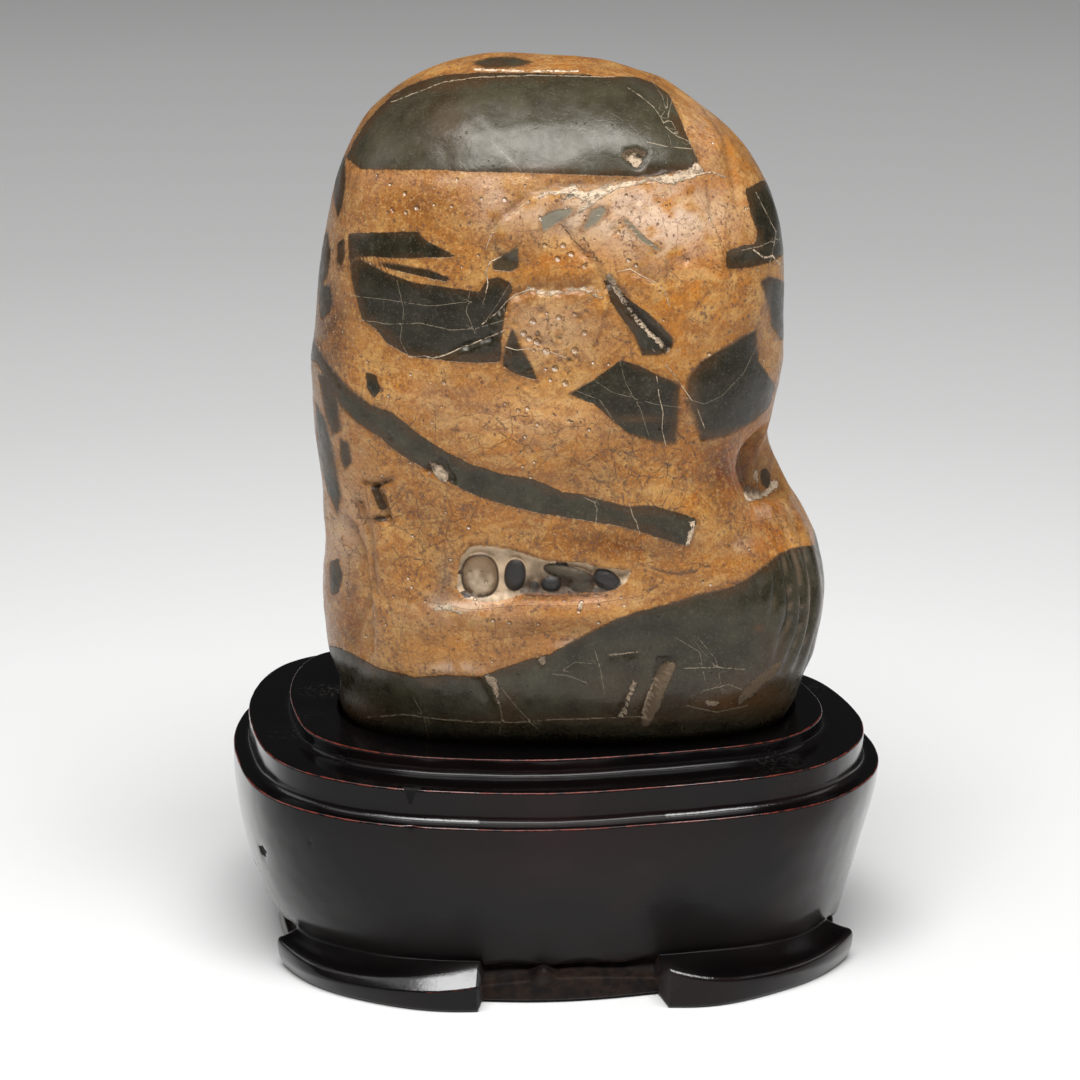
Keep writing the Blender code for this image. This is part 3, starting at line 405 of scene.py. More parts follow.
# Deep orange places of the matrix.
EMBERS = (
    (745, 470, 32, 50, 1.0), (766, 530, 38, 22, 0.6), (705, 300, 34, 50, 0.35), (700, 490, 20, 30, 0.4),
    (560, 262, 44, 9, 0.5), (560, 598, 44, 4, 0.7), (350, 350, 20, 40, 0.3), (352, 610, 14, 34, 0.8),
    (400, 560, 26, 60, 0.3),
)
# Painted shade and painted light: places of the face painted darker than their surroundings, where shade
# falls in hollows and grooves, under ledges and by the socket, and, with a negative amount, painted lighter
# for sheen and highlights; some only tune the tone. And by how much.
PAINTED_SHADE_AND_LIGHT = (
    (425, 200, 80, 40, 0.22), (335, 325, 22, 60, 0.22), (430, 530, 50, 36, 0.2), (350, 645, 30, 36, 0.22),
    (520, 612, 70, 14, 0.15), (650, 640, 60, 26, 0.25), (718, 468, 24, 36, 0.6), (346, 636, 22, 30, 0.25),
    (618, 545, 60, 14, 0.7), (640, 410, 34, 34, 0.6), (730, 385, 34, 34, 0.55), (440, 310, 50, 30, 0.45),
    (330, 330, 18, 44, 0.5), (352, 600, 10, 34, 0.4), (377, 562, 4, 24, 0.3), (448, 124, 22, 26, 0.3),
    (400, 100, 50, 20, 0.3), (560, 536, 70, 12, 0.2), (700, 706, 110, 20, 0.2), (660, 168, 26, 5, 0.45),
    (556, 82, 90, 13, 0.32), (362, 640, 16, 30, 0.1), (744, 472, 6, 24, 0.45), (560, 597, 44, 2.5, 0.35),
    (600, 470, 40, 16, 0.3), (470, 430, 60, 26, 0.12), (734, 350, 40, 50, 0.12), (760, 690, 36, 26, 0.25),
    (425, 208, 80, 26, 0.2), (335, 330, 14, 60, 0.15), (700, 170, 26, 26, 0.15), (718, 474, 20, 30, 0.2),
    (756, 455, 3, 12, 0.6), (770, 440, 14, 24, 0.25), (700, 300, 34, 50, -0.25), (514, 205, 9, 6, 0.55),
    (560, 182, 30, 5, 0.35), (606, 177, 40, 4, 0.45), (676, 410, 14, 30, 0.15), (754, 490, 12, 8, 0.45),
    (760, 528, 40, 22, 0.2), (444, 580, 9, 26, 0.4), (500, 700, 60, 20, -1.0), (450, 400, 40, 20, 0.25),
    (430, 530, 40, 30, 0.2), (455, 606, 30, 4, -0.4), (592, 182, 30, 3, 0.35), (700, 190, 26, 30, 0.12),
    (540, 280, 50, 5, 0.2), (655, 215, 50, 26, -0.42), (560, 208, 34, 14, -0.3), (470, 181, 60, 8, -0.05),
    (530, 420, 70, 24, -0.45), (392, 540, 26, 20, -0.25), (772, 505, 18, 7, -0.35), (500, 614, 90, 8, -0.2),
    (480, 640, 50, 16, -0.3), (335, 520, 14, 50, -0.4), (706, 412, 10, 14, -0.35),
    (560, 236, 26, 12, -0.15), (680, 104, 24, 20, -0.2), (546, 310, 34, 14, -0.12),
    (400, 690, 40, 14, -0.3), (430, 400, 40, 16, -0.15), (348, 700, 14, 24, 0.75), (366, 712, 20, 14, 0.5),
    (548, 602, 60, 4, -0.2),
)
# Where the fragments' edges are soft, and where rust stains the bed.
SOFT_EDGES = (
    (686, 398, 16, 50, 0.9), (730, 344, 44, 12, 0.8), (740, 430, 44, 14, 1.0), (640, 440, 60, 12, 0.9),
    (590, 222, 60, 26, 0.7), (508, 257, 16, 16, 0.6), (652, 340, 26, 26, 0.4), (400, 262, 60, 10, 0.4),
    (570, 385, 22, 16, 0.5), (340, 400, 22, 120, 0.7), (500, 62, 50, 8, 0.6), (600, 505, 60, 14, 0.3),
    (780, 300, 30, 50, 0.5), (520, 350, 22, 30, 0.4), (600, 628, 60, 22, 0.45), (480, 676, 60, 8, 0.25),
    (700, 594, 60, 14, 0.45), (770, 560, 30, 16, 0.4), (440, 160, 120, 6, 0.1),
)
RUSTS = (
    (712, 703, 26, 8, 0.8), (745, 690, 34, 18, 0.45), (775, 660, 16, 30, 0.35), (759, 628, 5, 4, 0.9),
    (640, 419, 30, 4, 0.7), (690, 400, 8, 40, 0.8), (556, 718, 150, 5, 0.35), (610, 690, 40, 20, 0.2),
    (448, 124, 22, 26, 0.4), (650, 700, 30, 20, 0.25), (508, 704, 12, 20, 0.5), (760, 700, 40, 16, 0.4),
    (736, 436, 40, 7, 0.7), (360, 712, 30, 14, 0.3),
)

# Fragments of the far sides: direction, height, half sizes (across, up, in), lean in degrees, tone.
FAR_SLABS = (
    (92, 196, 30, 12, 16, 12, 0.25), (58, 150, 16, 20, 14, -20, 0.1), (128, 140, 12, 26, 14, 25, 0.3),
    (104, 232, 24, 8, 30, -8, 0.6), (150, 190, 9, 22, 16, 8, 0.2), (76, 112, 22, 7, 14, 14, 0.4),
    (30, 200, 9, 16, 12, -15, 0.15), (20, 140, 8, 12, 10, 20, 0.2), (112, 108, 20, 5, 12, -10, 0.5),
    (170, 150, 6, 24, 10, 5, 0.3), (44, 228, 16, 6, 20, 10, 0.5), (140, 222, 14, 6, 14, -14, 0.4),
)
FAR_CHIPS = 34
# Least and greatest direction, height, half sizes, lean and tone of a chip.
CHIP_RANGES = (
    (-20.0, 215.0), (95.0, 235.0), (1.5, 7.0), (1.5, 9.0), (3.0, 8.0), (-50.0, 50.0), (0.0, 1.0),
)
FAR_SEED = 5
FAR_VEIN_PLANES = 7
FAR_VEINS = (71, 0.12)       # seed and half width in mm
FAR_CRACKS = (72, 0.10)

# Where the left flank is painted grey-pink, a painted reflection of the pale surround, and two grey
# crusts by the pebble hollow; and where the skin is matt, netted with hair cracks or thick with pits.
FLANKS = (
    (318, 240, 24, 110, 1.0), (318, 420, 26, 120, 1.0), (334, 590, 24, 90, 0.7), (352, 520, 22, 50, 0.35),
    (446, 576, 9, 24, 0.9), (436, 600, 12, 8, 0.9),
)
MATTE = (
    (756, 456, 18, 46, 1.0), (544, 576, 100, 26, 0.7), (360, 505, 18, 36, 0.5), (450, 575, 14, 30, 0.5),
    (632, 160, 12, 12, 0.6), (690, 165, 14, 6, 0.6), (592, 181, 60, 5, 0.6),
)
NETTED = (
    (640, 470, 90, 50, 1.0), (410, 530, 50, 50, 0.9), (560, 430, 60, 30, 0.6), (650, 560, 60, 24, 0.5),
)
PITTED = (
    (552, 350, 58, 56, 1.0), (590, 230, 90, 40, 0.7), (430, 205, 60, 30, 0.5), (450, 610, 120, 20, 0.5),
    (640, 610, 60, 16, 0.4), (420, 380, 50, 20, 0.5), (560, 500, 120, 90, 0.25),
)

# Everything of the face that is soft spots, by the name that the finish reads.
SPOTS = {
    "blur": SOFT_EDGES, "rust": RUSTS, "blush_and_sheen": BLUSHES_AND_SHEEN, "flame": FLAMES, "ember": EMBERS,
    "shade": PAINTED_SHADE_AND_LIGHT, "flank": FLANKS, "matte": MATTE, "pitted": PITTED,
}

# ---- the stand's sizes, mm
# Plan of the widest edge, anticlockwise from the right.
STAND_PLAN = (
    (89.0, -7.0), (87.0, 8.0), (80.0, 27.0), (66.0, 43.0), (38.0, 56.5), (2.0, 61.2), (-34.0, 60.8),
    (-63.5, 55.8), (-79.8, 45.0), (-87.3, 27.0), (-89.0, 7.0), (-86.6, -12.0), (-77.9, -36.0),
    (-54.5, -54.3), (-25.0, -61.0), (3.0, -61.2), (33.0, -56.0), (67.7, -44.5), (85.4, -24.0),
)
TOP_TIER = 67.2
MIDDLE_TIER = 62.2
BODY_TOP = 53.5
TOP_TIER_IN = 15.7    # how far the top tier stands in from the widest edge
MIDDLE_TIER_IN = 4.3
WAIST_IN = 11.8
WAIST_HEIGHT = 11.2
WAIST_SIDE_OUT = 1.2  # how much fuller the taper is at the two sides
SOCKET_FLOOR = 58.2
SOCKET_CLEAR = 1.0
TIER_ROUND = 0.75     # rounding of the tiers' edges
COVE_ROUND = 2.6      # rounding of the coves between tiers
ROUND_STEPS = 7
PLINTH_IN = 8.0              # inset of the strips, and how much more it is at the sides
PLINTH_SIDE_IN = 3.5
# The body's taper: height, inset, and how much of the belly and of the sides' fullness it has.
BODY_TAPER = (
    (47.0, 0.7, 0.3, 0.0), (37.0, 4.0, 0.75, 0.78), (26.0, 8.2, 1.0, 1.95), (16.0, 10.9, 0.7, 1.85),
)
BODY_ROUND = 60.0
BELLY = (-165.0, 34.0, 3.0)   # its direction, spread in degrees and fullness
PAD_IN = 23.0                # inset of the foot pads' inner edge
UNDERSIDE = 1.6              # height of the shallow hollow under the stand
# First and last direction of each foot, in degrees from +X, then its inner end,
# how much higher the lip stands there in mm and how filled its scoop is there.
FEET = (
    (-163.0, -108.4, -108.4, 3.0, 1.0),
    (-62.0, -12.0, -62.0, 6.4, 0.0),
    (24.0, 66.0, 66.0, 3.7, 0.5),
    (113.0, 164.0, 113.0, 3.7, 0.5),
)
FOOT_LIP_LOW = 5.3           # height of the lip's low end
FOOT_LIP_FADE = 17.0         # degrees over which the lip comes down from its inner end
FOOT_FILL_REACH = 24.0       # degrees that the scoop's filling reaches
FOOT_BLUNT_REACH = 17.0      # degrees that the blunt outer end reaches
FOOT_END_FADE = 5.5          # degrees over which a foot fades at its outer end
FOOT_LIP_IN = 2.0            # the lip's inset from the widest edge
FOOT_LEAN = 1.4              # how much farther in the foot stands on the ground
# Fuller stretches of the feet: direction, spread in degrees, extra reach.
FOOT_FULLNESS = ((-52.0, 15.0, 5.5), (-118.0, 14.0, 2.5), (50.0, 14.0, 2.0), (130.0, 14.0, 2.0),
                 (-158.0, 12.0, -2.0), (163.0, 18.0, -6.0), (27.0, 14.0, -6.0))
FOOT_END_STEP = 0.30         # half the step in degrees at a foot's end face
# The apron over a gap and the strip below it.
APRON_IN = 14.6
APRON_LOW = 9.9
APRON_WAVE = 0.8
STRIP_ROOF = 8.6
STRIP_TOP = 4.9
STRIP_ARCH = 2.2
KNOB = (-92.5, 2.4, 3.0)      # its direction, spread in degrees and size
PLAN_SAMPLES = 7200          # even steps that the plan is measured in
STAND_COLUMNS = 640          # places round the plan
NICK = (-38.0, -58.6, 53.3, 1.6)          # place and reach
# Black marks of the front, outlines on the sheet.
STAND_MARKS = (
    ((258, 845.5), (261.5, 844.5), (268, 855), (264, 857.5), (261, 854)),
    ((402, 787), (412, 788), (424, 787), (416, 792), (412, 800), (410, 809), (407, 801), (405, 792)),
    ((309, 841), (312, 841), (312, 844), (309, 844)),
)
RED_CAST = (8.0, -58.0, 46.0, 42.0, 20.0, 13.0)   # place and reaches
# Dusty rubbed places: x, y, z, reach and amount.
RUBBED = (
    (-66.5, -12.0, 62.4, 4.5, 0.9), (-61.0, -21.0, 62.4, 4.0, 0.9), (-54.0, -30.0, 62.4, 4.0, 0.8),
    (-60.8, 8.0, 67.3, 3.0, 1.0), (-59.0, 3.0, 67.3, 2.0, 0.7), (60.0, -36.0, 62.4, 6.0, 0.3),
    (0.0, 50.0, 62.4, 14.0, 0.5), (70.0, 22.0, 62.4, 7.0, 0.4),
)

# ---- colours, linear
OCHRE = (0.40, 0.168, 0.040)
HONEY = (0.48, 0.232, 0.062)
PALE_HONEY = (0.58, 0.335, 0.115)
ORANGE = (0.43, 0.155, 0.018)
FLAME_DEEP = (0.44, 0.120, 0.008)
PINK_CREAM_AND_SHEEN = (0.71, 0.545, 0.425)
RUSSET = (0.23, 0.088, 0.026)
GREY_PINK = (0.33, 0.235, 0.17)
HALO_BROWN = (0.20, 0.075, 0.018)
CRACK_BROWN = (0.085, 0.044, 0.027)
SPECK_BROWN = (0.115, 0.060, 0.040)
DEEP_GOLD = (0.30, 0.105, 0.018)
PALE_GOLD = (0.62, 0.38, 0.145)
PIT_GLINT_WHITE = (0.80, 0.66, 0.54)
BROWN_AND_PIT_SHADE = (0.17, 0.085, 0.038)
VEIN_CREAM = (0.46, 0.37, 0.26)
CRUST_CREAM = (0.79, 0.61, 0.43)
CRUST_SHADE = (0.12, 0.080, 0.045)
GRIME_AND_SHADE = (0.045, 0.028, 0.017)
FRAGMENT_DARK = (0.018, 0.0145, 0.0068)
FRAGMENT_PALE = (0.060, 0.052, 0.031)
SLIVER_GREY = (0.23, 0.20, 0.145)
FRAGMENT_BROWN = (0.065, 0.032, 0.012)
RUST = (0.085, 0.040, 0.014)
SCAR_TAN = (0.15, 0.105, 0.068)
FRAGMENT_DUST = (0.13, 0.12, 0.09)
CEMENT = (0.70, 0.52, 0.34)
CEMENT_DARK = (0.50, 0.365, 0.235)
CEMENT_BROWN = (0.075, 0.045, 0.026)
PEBBLE_DARK = (0.030, 0.028, 0.027)
PEBBLE_BROWN = (0.072, 0.054, 0.034)
PEBBLE_QUARTZ = (0.62, 0.48, 0.33)
PEBBLE_RIM = (0.17, 0.105, 0.055)
PEBBLE_OUTLINE = (0.055, 0.030, 0.018)
LACQUER = (0.0045, 0.0036, 0.0038)
LACQUER_RED = (0.021, 0.0085, 0.0078)
WORN_RED = (0.135, 0.024, 0.015)
WOOD_BROWN = (0.020, 0.010, 0.006)
WOOD_DARK = (0.005, 0.003, 0.0025)
DUST_GREY = (0.20, 0.18, 0.165)
CHIP_BLACK = (0.006, 0.005, 0.005)

# ---- grain of the finishes, mm
TINY_GRAIN = 0.62
FINE_GRAIN = 1.3
MIDDLE_GRAIN = 3.4
SPECK_CELL = 2.3
NET_CELL = 6.5
BEND = (4.5, 1.5)            # size and amount of the bending of specks and net
PIT_CELL = 3.3
PIT_SPREAD = 0.18            # how much the pits' sizes differ, in cells
# painted shade and painted glint: a pit's upper wall is painted dark, its lower wall pale
PIT_UPWARD = (1.5, -1.0, 3.5)   # which wall of a pit is dark, and how sharply
LACQUER_GRAIN = 3.2
DUST_GRAIN = 1.1
STONE_GLOSS = (0.21, 0.35)
WAX_TINT = (0.98, 0.95, 0.89)
WAX_IOR = 1.43
LACQUER_GLOSS = (0.14, 0.24)
LACQUER_IOR = 1.29
COAT_ROUGHNESS = 0.16
COAT_IOR = 1.6
FLOOR_ROUGHNESS = 0.75
FLOOR_IOR = 1.3

# ---- surroundings, metres
FLOOR_RINGS = (0.15, 0.6, 2.0, 9.0)
FLOOR_STEPS = 96
# Distance from the object and tone of the floor there: painted shade, the floor greyer farther out in place
# of the light falling off across it.
FLOOR_TONES = (
    (0.0, 0.79), (0.2, 0.79), (0.275, 0.78), (0.385, 0.74), (0.51, 0.69), (0.756, 0.66), (1.125, 0.72),
    (2.5, 0.6),
)
# name, place, aim, width, height, power
LIGHTS = (
    ("overhead", (0.04, -0.52, 1.35), (0.0, 0.0, 0.12), 1.30, 0.60, 27.0),
    ("above", (-0.3, -0.45, 1.9), (0.0, -0.1, 0.1), 2.4, 1.2, 9.2),
    ("left", (-1.5, 0.2, 0.8), (0.0, 0.0, 0.12), 0.8, 1.0, 2.9),
    ("right", (1.5, 0.0, 0.8), (0.0, 0.0, 0.12), 0.7, 1.0, 2.0),
    ("front", (-0.3, -2.4, 1.5), (0.0, 0.0, 0.12), 0.8, 0.6, 1.5),
)
SURROUND_LIGHT = 0.05


# ---- numbers and curves
def row(values):
    """A list of numbers, or of tuples of numbers, as an array of floats."""
    return np.array(values, dtype=float)


def smooth_step(low, high, value):
    """0 below low, 1 above high, with a smooth cubic between."""
    t = np.clip((value - low) / (high - low), 0.0, 1.0)
    return t * t * (3.0 - 2.0 * t)


def bell(far):
    """1 at 0 and fading to 0 on both sides: e to minus the square."""
    return np.exp(-(far ** 2))


def unit(vectors):
    """Vectors made one unit long."""
    return vectors / np.linalg.norm(vectors, axis=-1, keepdims=True)


def hermite(t, a, b, leaving, arriving):
    """The cubic from a to b with given slopes at its ends, at a share t."""
    between_ends = (1 + 2 * t) * (1 - t) ** 2 * a + t * t * (3 - 2 * t) * b
    return between_ends + t * (1 - t) ** 2 * leaving - t * t * (1 - t) * arriving


def nearest(found, new):
    """Of two sets of numbers per point, the one whose first number is smaller."""
    closer = new[0] < found[0]
    return [np.where(closer, b, a) for a, b in zip(found, new)]


def through(stations, column, height):
    """Smooth curve through the stations' values: a cubic Hermite between each
    pair, its slope at a station taken from the two neighbours."""
    z = row([s[0] for s in stations])
    v = row([s[column] for s in stations])
    slope = np.gradient(v, z)
    h = np.clip(height, z[0], z[-1])
    i = np.clip(np.searchsorted(z, h) - 1, 0, len(z) - 2)
    step = z[i + 1] - z[i]
    return hermite((h - z[i]) / step, v[i], v[i + 1], step * slope[i], step * slope[i + 1])


def lattice_noise(points, cell, seed):
    """Smooth noise from -1 to 1: random values on a cubic lattice of the given
    cell, blended between the eight corners round each point."""
    table = np.random.default_rng(seed).uniform(-1.0, 1.0, LATTICE_TABLE)
    q = points / cell
    corner = np.floor(q).astype(np.int64)
    f = q - corner
    f = f * f * (3.0 - 2.0 * f)
    total = np.zeros(len(points))
    for step in np.ndindex(2, 2, 2):
        i, j, k = ((corner + step) * LATTICE_PRIMES).T
        wx, wy, wz = np.where(step, f, 1.0 - f).T
        total += table[(i ^ j ^ k) % LATTICE_TABLE] * wx * wy * wz
    return total


def chain_distance(u, v, points):
    """Distance to a chain of points, the signed distance square to its nearest
    stretch (positive below a chain that runs from left to right), and whether
    the nearest place lies past an end."""
    found = [np.full(len(u), 1e9), np.zeros(len(u)), np.zeros(len(u), dtype=bool)]
    pts = row(points)
    for i, (a, b) in enumerate(zip(pts[:-1], pts[1:])):
        along = b - a
        length = np.hypot(*along)
        t = ((u - a[0]) * along[0] + (v - a[1]) * along[1]) / length ** 2
        tc = np.clip(t, 0.0, 1.0)
        d = np.hypot(u - a[0] - tc * along[0], v - a[1] - tc * along[1])
        cross = (along[0] * (v - a[1]) - along[1] * (u - a[0])) / length
        past = ((i == 0) & (t < 0)) | ((i == len(pts) - 2) & (t > 1))
        found = nearest(found, (d, cross, past))
    return found


def area_distance(u, v, points):
    """Distance to a closed outline, negative inside it."""
    ring = tuple(points) + (points[0],)
    best, _, _ = chain_distance(u, v, ring)
    inside = np.zeros(len(u), dtype=bool)
    for a, b in zip(ring[:-1], ring[1:]):
        if a[1] == b[1]:
            continue
        crosses = (v < a[1]) != (v < b[1])
        reach = a[0] + (v - a[1]) * (b[0] - a[0]) / (b[1] - a[1])
        inside ^= crosses & (u < reach)
    return np.where(inside, -best, best)


# ---- the stone's surface
def stone_field(p):
    """Below 0 inside the smooth pillow, above 0 outside.

    The section is a superellipse of the four reaches, and a power of the
    height past the crown's or the base's start is added to close the ends."""
    z = p[:, 2]
    lean = CROWN_LEAN * smooth_step(*LEAN_HEIGHTS, z)
    x = p[:, 0] - STONE_AXIS[0] - lean
    y = p[:, 1] - STONE_AXIS[1]
    side = np.where(x < 0, through(STONE_STATIONS, 1, z) + lean, through(STONE_STATIONS, 2, z) - lean)
    depth = np.where(y < 0, through(STONE_STATIONS, 3, z), through(STONE_STATIONS, 4, z))
    n = SECTION_ROUNDNESS
    flat = (np.abs(x / side) ** n + np.abs(y / depth) ** n) ** (1.0 / n)
    over = np.clip((z - CROWN_START) / (CROWN_TOP - CROWN_START), 0.0, None)
    under = np.clip((BASE_START - z) / (BASE_START - BASE_BOTTOM), 0.0, None)
    top = (flat ** CROWN_ROUNDNESS + over ** CROWN_ROUNDNESS) ** (1.0 / CROWN_ROUNDNESS)
    bottom = (flat ** BASE_ROUNDNESS + under ** BASE_ROUNDNESS) ** (1.0 / BASE_ROUNDNESS)
    return np.where(z > STONE_HEART[2], top, bottom) - 1.0


def cast(start, directions, reach=400.0):
    """Where rays from the start leave the pillow, by halving the interval."""
    low = np.zeros(len(directions))
    high = np.full(len(directions), reach)
    for _ in range(HALVINGS):
        middle = 0.5 * (low + high)
        inside = stone_field(start + directions * middle[:, None]) < 0.0
        low = np.where(inside, middle, low)
        high = np.where(inside, high, middle)
    return start + directions * (0.5 * (low + high))[:, None]


def field_normals(p, step=0.2):
    """Outward unit normals of the pillow, from central differences of its field."""
    grad = np.zeros_like(p)
    for axis in range(3):
        move = np.zeros(3)
        move[axis] = step
        grad[:, axis] = stone_field(p + move) - stone_field(p - move)
    return unit(grad)


def on_sheet(p):
    """Sheet place of each point, and the unit vector from it to the eye."""
    eye = np.array(SHEET_EYE)
    forward = unit(np.array(SHEET_AIM) - eye)
    right = np.array((1.0, 0.0, 0.0))
    up = np.cross(right, forward)
    d = p - eye
    depth = d @ forward
    u = SHEET_MIDDLE + SHEET_UNITS * (d @ right) / depth
    v = SHEET_MIDDLE - SHEET_UNITS * (d @ up) / depth
    return u, v, -unit(d)


def spot_sum(u, v, spots):
    """Sum of soft round spots of the sheet, each with its amount."""
    total = np.zeros(len(u))
    for cu, cv, ru, rv, amount in spots:
        total += amount * np.exp(-(((u - cu) / ru) ** 2) - ((v - cv) / rv) ** 2)
    return total


def soft_ball(p, middle, reach):
    """1 in the middle of a soft ball and 0 far from it; one reach, or three."""
    return bell(np.linalg.norm((p - np.array(middle)) / np.array(reach), axis=1))


def skin_place(angle, height):
    """The unit vector in a direction round the stone's axis, in degrees, and
    where it leaves the pillow at a height."""
    a = math.radians(angle)
    way = np.array([math.cos(a), math.sin(a), 0.0])
    return way, cast(np.array([*STONE_AXIS, height]), way[None])[0]


def scattered_pits():
    """The single pits and those of the pit fields, places and sizes drawn at
    random with a fixed seed: centre, radius in units, depth in mm."""
    pits = list(PITS)
    for (left, top, right, bottom), count, seed in PIT_FIELDS:
        draw = np.random.default_rng(seed)
        for _ in range(count):
            radius = 1.6 + 2.2 * draw.random() ** 2
            pits.append((draw.uniform(left, right), draw.uniform(top, bottom), radius, 0.10 * radius))
    return pits


def face_relief(u, v):
    """Rise in mm of the front's ledges, gashes, hollow, pebbles and swellings,
    and how deep each place lies in a cut or under a ledge (0 to 1), which the finish darkens as grime and
    painted shade."""
    rise = np.zeros(len(u))
    sunk = np.zeros(len(u))
    sheet = np.column_stack([u, v, 0 * u])
    jag = 2.2 * lattice_noise(sheet, 7.0, 31) + 1.2 * lattice_noise(sheet, 3.0, 32)
    for points, drop, width in LEDGES:
        d, side, beyond = chain_distance(u, v, points)
        ends = np.minimum(np.hypot(u - points[0][0], v - points[0][1]),
                          np.hypot(u - points[-1][0], v - points[-1][1]))
        ends = np.where(beyond, 0.0, smooth_step(0.0, LEDGE_FADE, ends))
        size = min(abs(drop), 1.0)
        below = side + jag * size
        step = smooth_step(0.0, LEDGE_STEP, below)
        rise -= drop * ends * step * bell(side / width)
        foot = 4.0
        if drop < 0.0:
            rise -= 0.55 * size * ends * (1.0 - step) * bell(side / GROOVE_REACH)
            foot = -3.0
        sunk = np.maximum(sunk, 0.75 * size * ends * bell((side - foot) / 3.0))
    for points, depth, half in GASHES:
        d, _, _ = chain_distance(u, v, points)
        cut = 1.0 - smooth_step(0.2 * half, half + GASH_SLOPE, d + 0.5 * jag)
        rise -= depth * cut
        sunk = np.maximum(sunk, np.clip(0.5 * depth, 0.0, 1.0) * cut)
    rise += spot_sum(u, v, SWELLINGS)
    for outline, depth, wall in HOLLOWS:
        d = area_distance(u, v, outline) + 0.4 * jag
        cut = 1.0 - smooth_step(-wall, 0.25 * wall, d)
        rise -= depth * cut
        sunk = np.maximum(sunk, 0.55 * (1.0 - smooth_step(-wall, 0.0, d)) * min(1.0, 0.5 * depth))
    for cu, cv, radius, depth in scattered_pits():
        far = np.hypot(u - cu, v - cv) / radius
        rise -= depth * (bell((far / 0.75) ** 2) - 0.25 * bell((far - 1.3) / 0.35))
    hollow = area_distance(u, v, PEBBLE_HOLLOW) + 0.6 * jag
    floor = -PEBBLE_HOLLOW_DEPTH * (1.0 - smooth_step(-HOLLOW_SLOPE, 0.3 * HOLLOW_SLOPE, hollow))
    sunk = np.maximum(sunk, 0.35 * bell((hollow + 1.0) / 2.4) * smooth_step(480.0, 530.0, u))
    for cu, cv, ru, rv, height, turn, _ in PEBBLES:
        far = pebble_reach(u, v, cu, cv, ru, rv, turn)
        dome = height * np.sqrt(np.clip(1.0 - far ** 2, 0.0, None)) - PEBBLE_HOLLOW_DEPTH
        floor = np.where(far < 1.0, np.maximum(floor, dome), floor)
    rise += floor
    rib, here = ribs(u, v)
    rise += RIB_RISE * (rib - 0.6) * here
    return rise, sunk


def ribs(u, v):
    """The flutes of the bed's right edge: 1 on a rib's back and 0 in the sharp
    groove between two, along bowed lines; and how strong they are, 0 to 1."""
    off = ((u - RIB_MIDDLE[0]) / RIB_REACH[0]) ** 2 + ((v - RIB_MIDDLE[1]) / RIB_REACH[1]) ** 2
    bow = RIB_BOW * (v - RIB_MIDDLE[1]) ** 2
    warp = 5.0 * lattice_noise(np.column_stack([u / 22.0, v / 52.0, 0 * u]), 1.0, 35)
    phase = (u + bow + warp) * np.pi / RIB_SPACING
    return np.abs(np.sin(phase)) ** 0.7, np.exp(-off)


def pebble_reach(u, v, cu, cv, ru, rv, turn):
    """0 in a pebble's middle, 1 on its rim: a turned ellipse on the sheet."""
    c = math.cos(math.radians(turn))
    s = math.sin(math.radians(turn))
    across = (c * (u - cu) + s * (v - cv)) / ru
    down = (-s * (u - cu) + c * (v - cv)) / rv
    n = PEBBLE_SQUARENESS
    return (np.abs(across) ** n + np.abs(down) ** n) ** (1.0 / n)


def far_relief(p):
    """Rise in mm of the hollows, knobs and ledges of the sides and the back."""
    turn = np.degrees(np.arctan2(p[:, 1] - STONE_AXIS[1], p[:, 0] - STONE_AXIS[0]))
    rise = np.zeros(len(p))
    for angle, height, reach, amount in FAR_HOLLOWS:
        rise += amount * soft_ball(p, skin_place(angle, height)[1], reach)
    for height, climb, first, last, drop, width in FAR_LEDGES:
        turned = np.where(turn < -90.0, turn + 360.0, turn)
        line = height + climb * (turned - 90.0)
        line = line + 3.0 * np.sin(np.radians(turned * 7.0)) + 0.5 * lattice_noise(p, 2.5, 33)
        below = line - p[:, 2]
        ends = smooth_step(first, first + 14.0, turned) * (1.0 - smooth_step(last - 14.0, last, turned))
        rise -= drop * ends * smooth_step(0.0, 1.4, below) * bell(below / width)
        rise += 0.3 * drop * ends * bell(below / 1.8)
    return rise


def cube_grid(steps):
    """Six grids of two parameters that cover a cube, joined into one closed net.

    Each face of the cube carries a square grid; points that fall on shared
    edges are kept once.  Returns unit directions and the corner numbers of
    every cell, wound outwards."""
    k = np.arange(steps + 1)
    a, b = np.meshgrid(k, k, indexing="ij")
    low = np.zeros_like(a)
    high = np.full_like(a, steps)
    faces = ((high, a, b), (low, b, a), (b, high, a), (a, low, b), (a, b, high), (b, a, low))
    places = np.stack([np.stack(face, axis=-1) for face in faces]).reshape(-1, 3)
    key = (places[:, 0] * (steps + 1) + places[:, 1]) * (steps + 1) + places[:, 2]
    _, first, number = np.unique(key, return_index=True, return_inverse=True)
    number = number.reshape(6, steps + 1, steps + 1)
    near = slice(None, -1)
    far = slice(1, None)
    corners = ((near, near), (far, near), (far, far), (near, far))
    cells = np.stack([number[:, i, j] for i, j in corners], axis=-1)
    c = np.tan((places[first] / steps * 2.0 - 1.0) * np.pi / 4.0)
    return unit(c), cells.reshape(-1, 4)


# ---- the drawing of the stone
def nearest_area(u, v, areas):
    """Signed distance in mm to the nearest of the toned outlines, and its tone."""
    found = [np.full(len(u), 1e3), np.zeros(len(u))]
    for shade, outline in areas:
        found = nearest(found, (area_distance(u, v, outline) * UNIT, shade))
    return found


def nearest_line(u, v, lines):
    """Distance in mm to the nearest line, and across it in half widths, signed."""
    found = [np.full(len(u), 1e3)] * 2
    for points, half in lines:
        d, side, _ = chain_distance(u, v, points)
        found = nearest(found, (d * UNIT, side * UNIT / half))
    return found


def soft_spots(u, v, spots):
    """Sum of soft round spots, kept between -1 and 1."""
    return np.clip(spot_sum(u, v, spots), -1.0, 1.0)


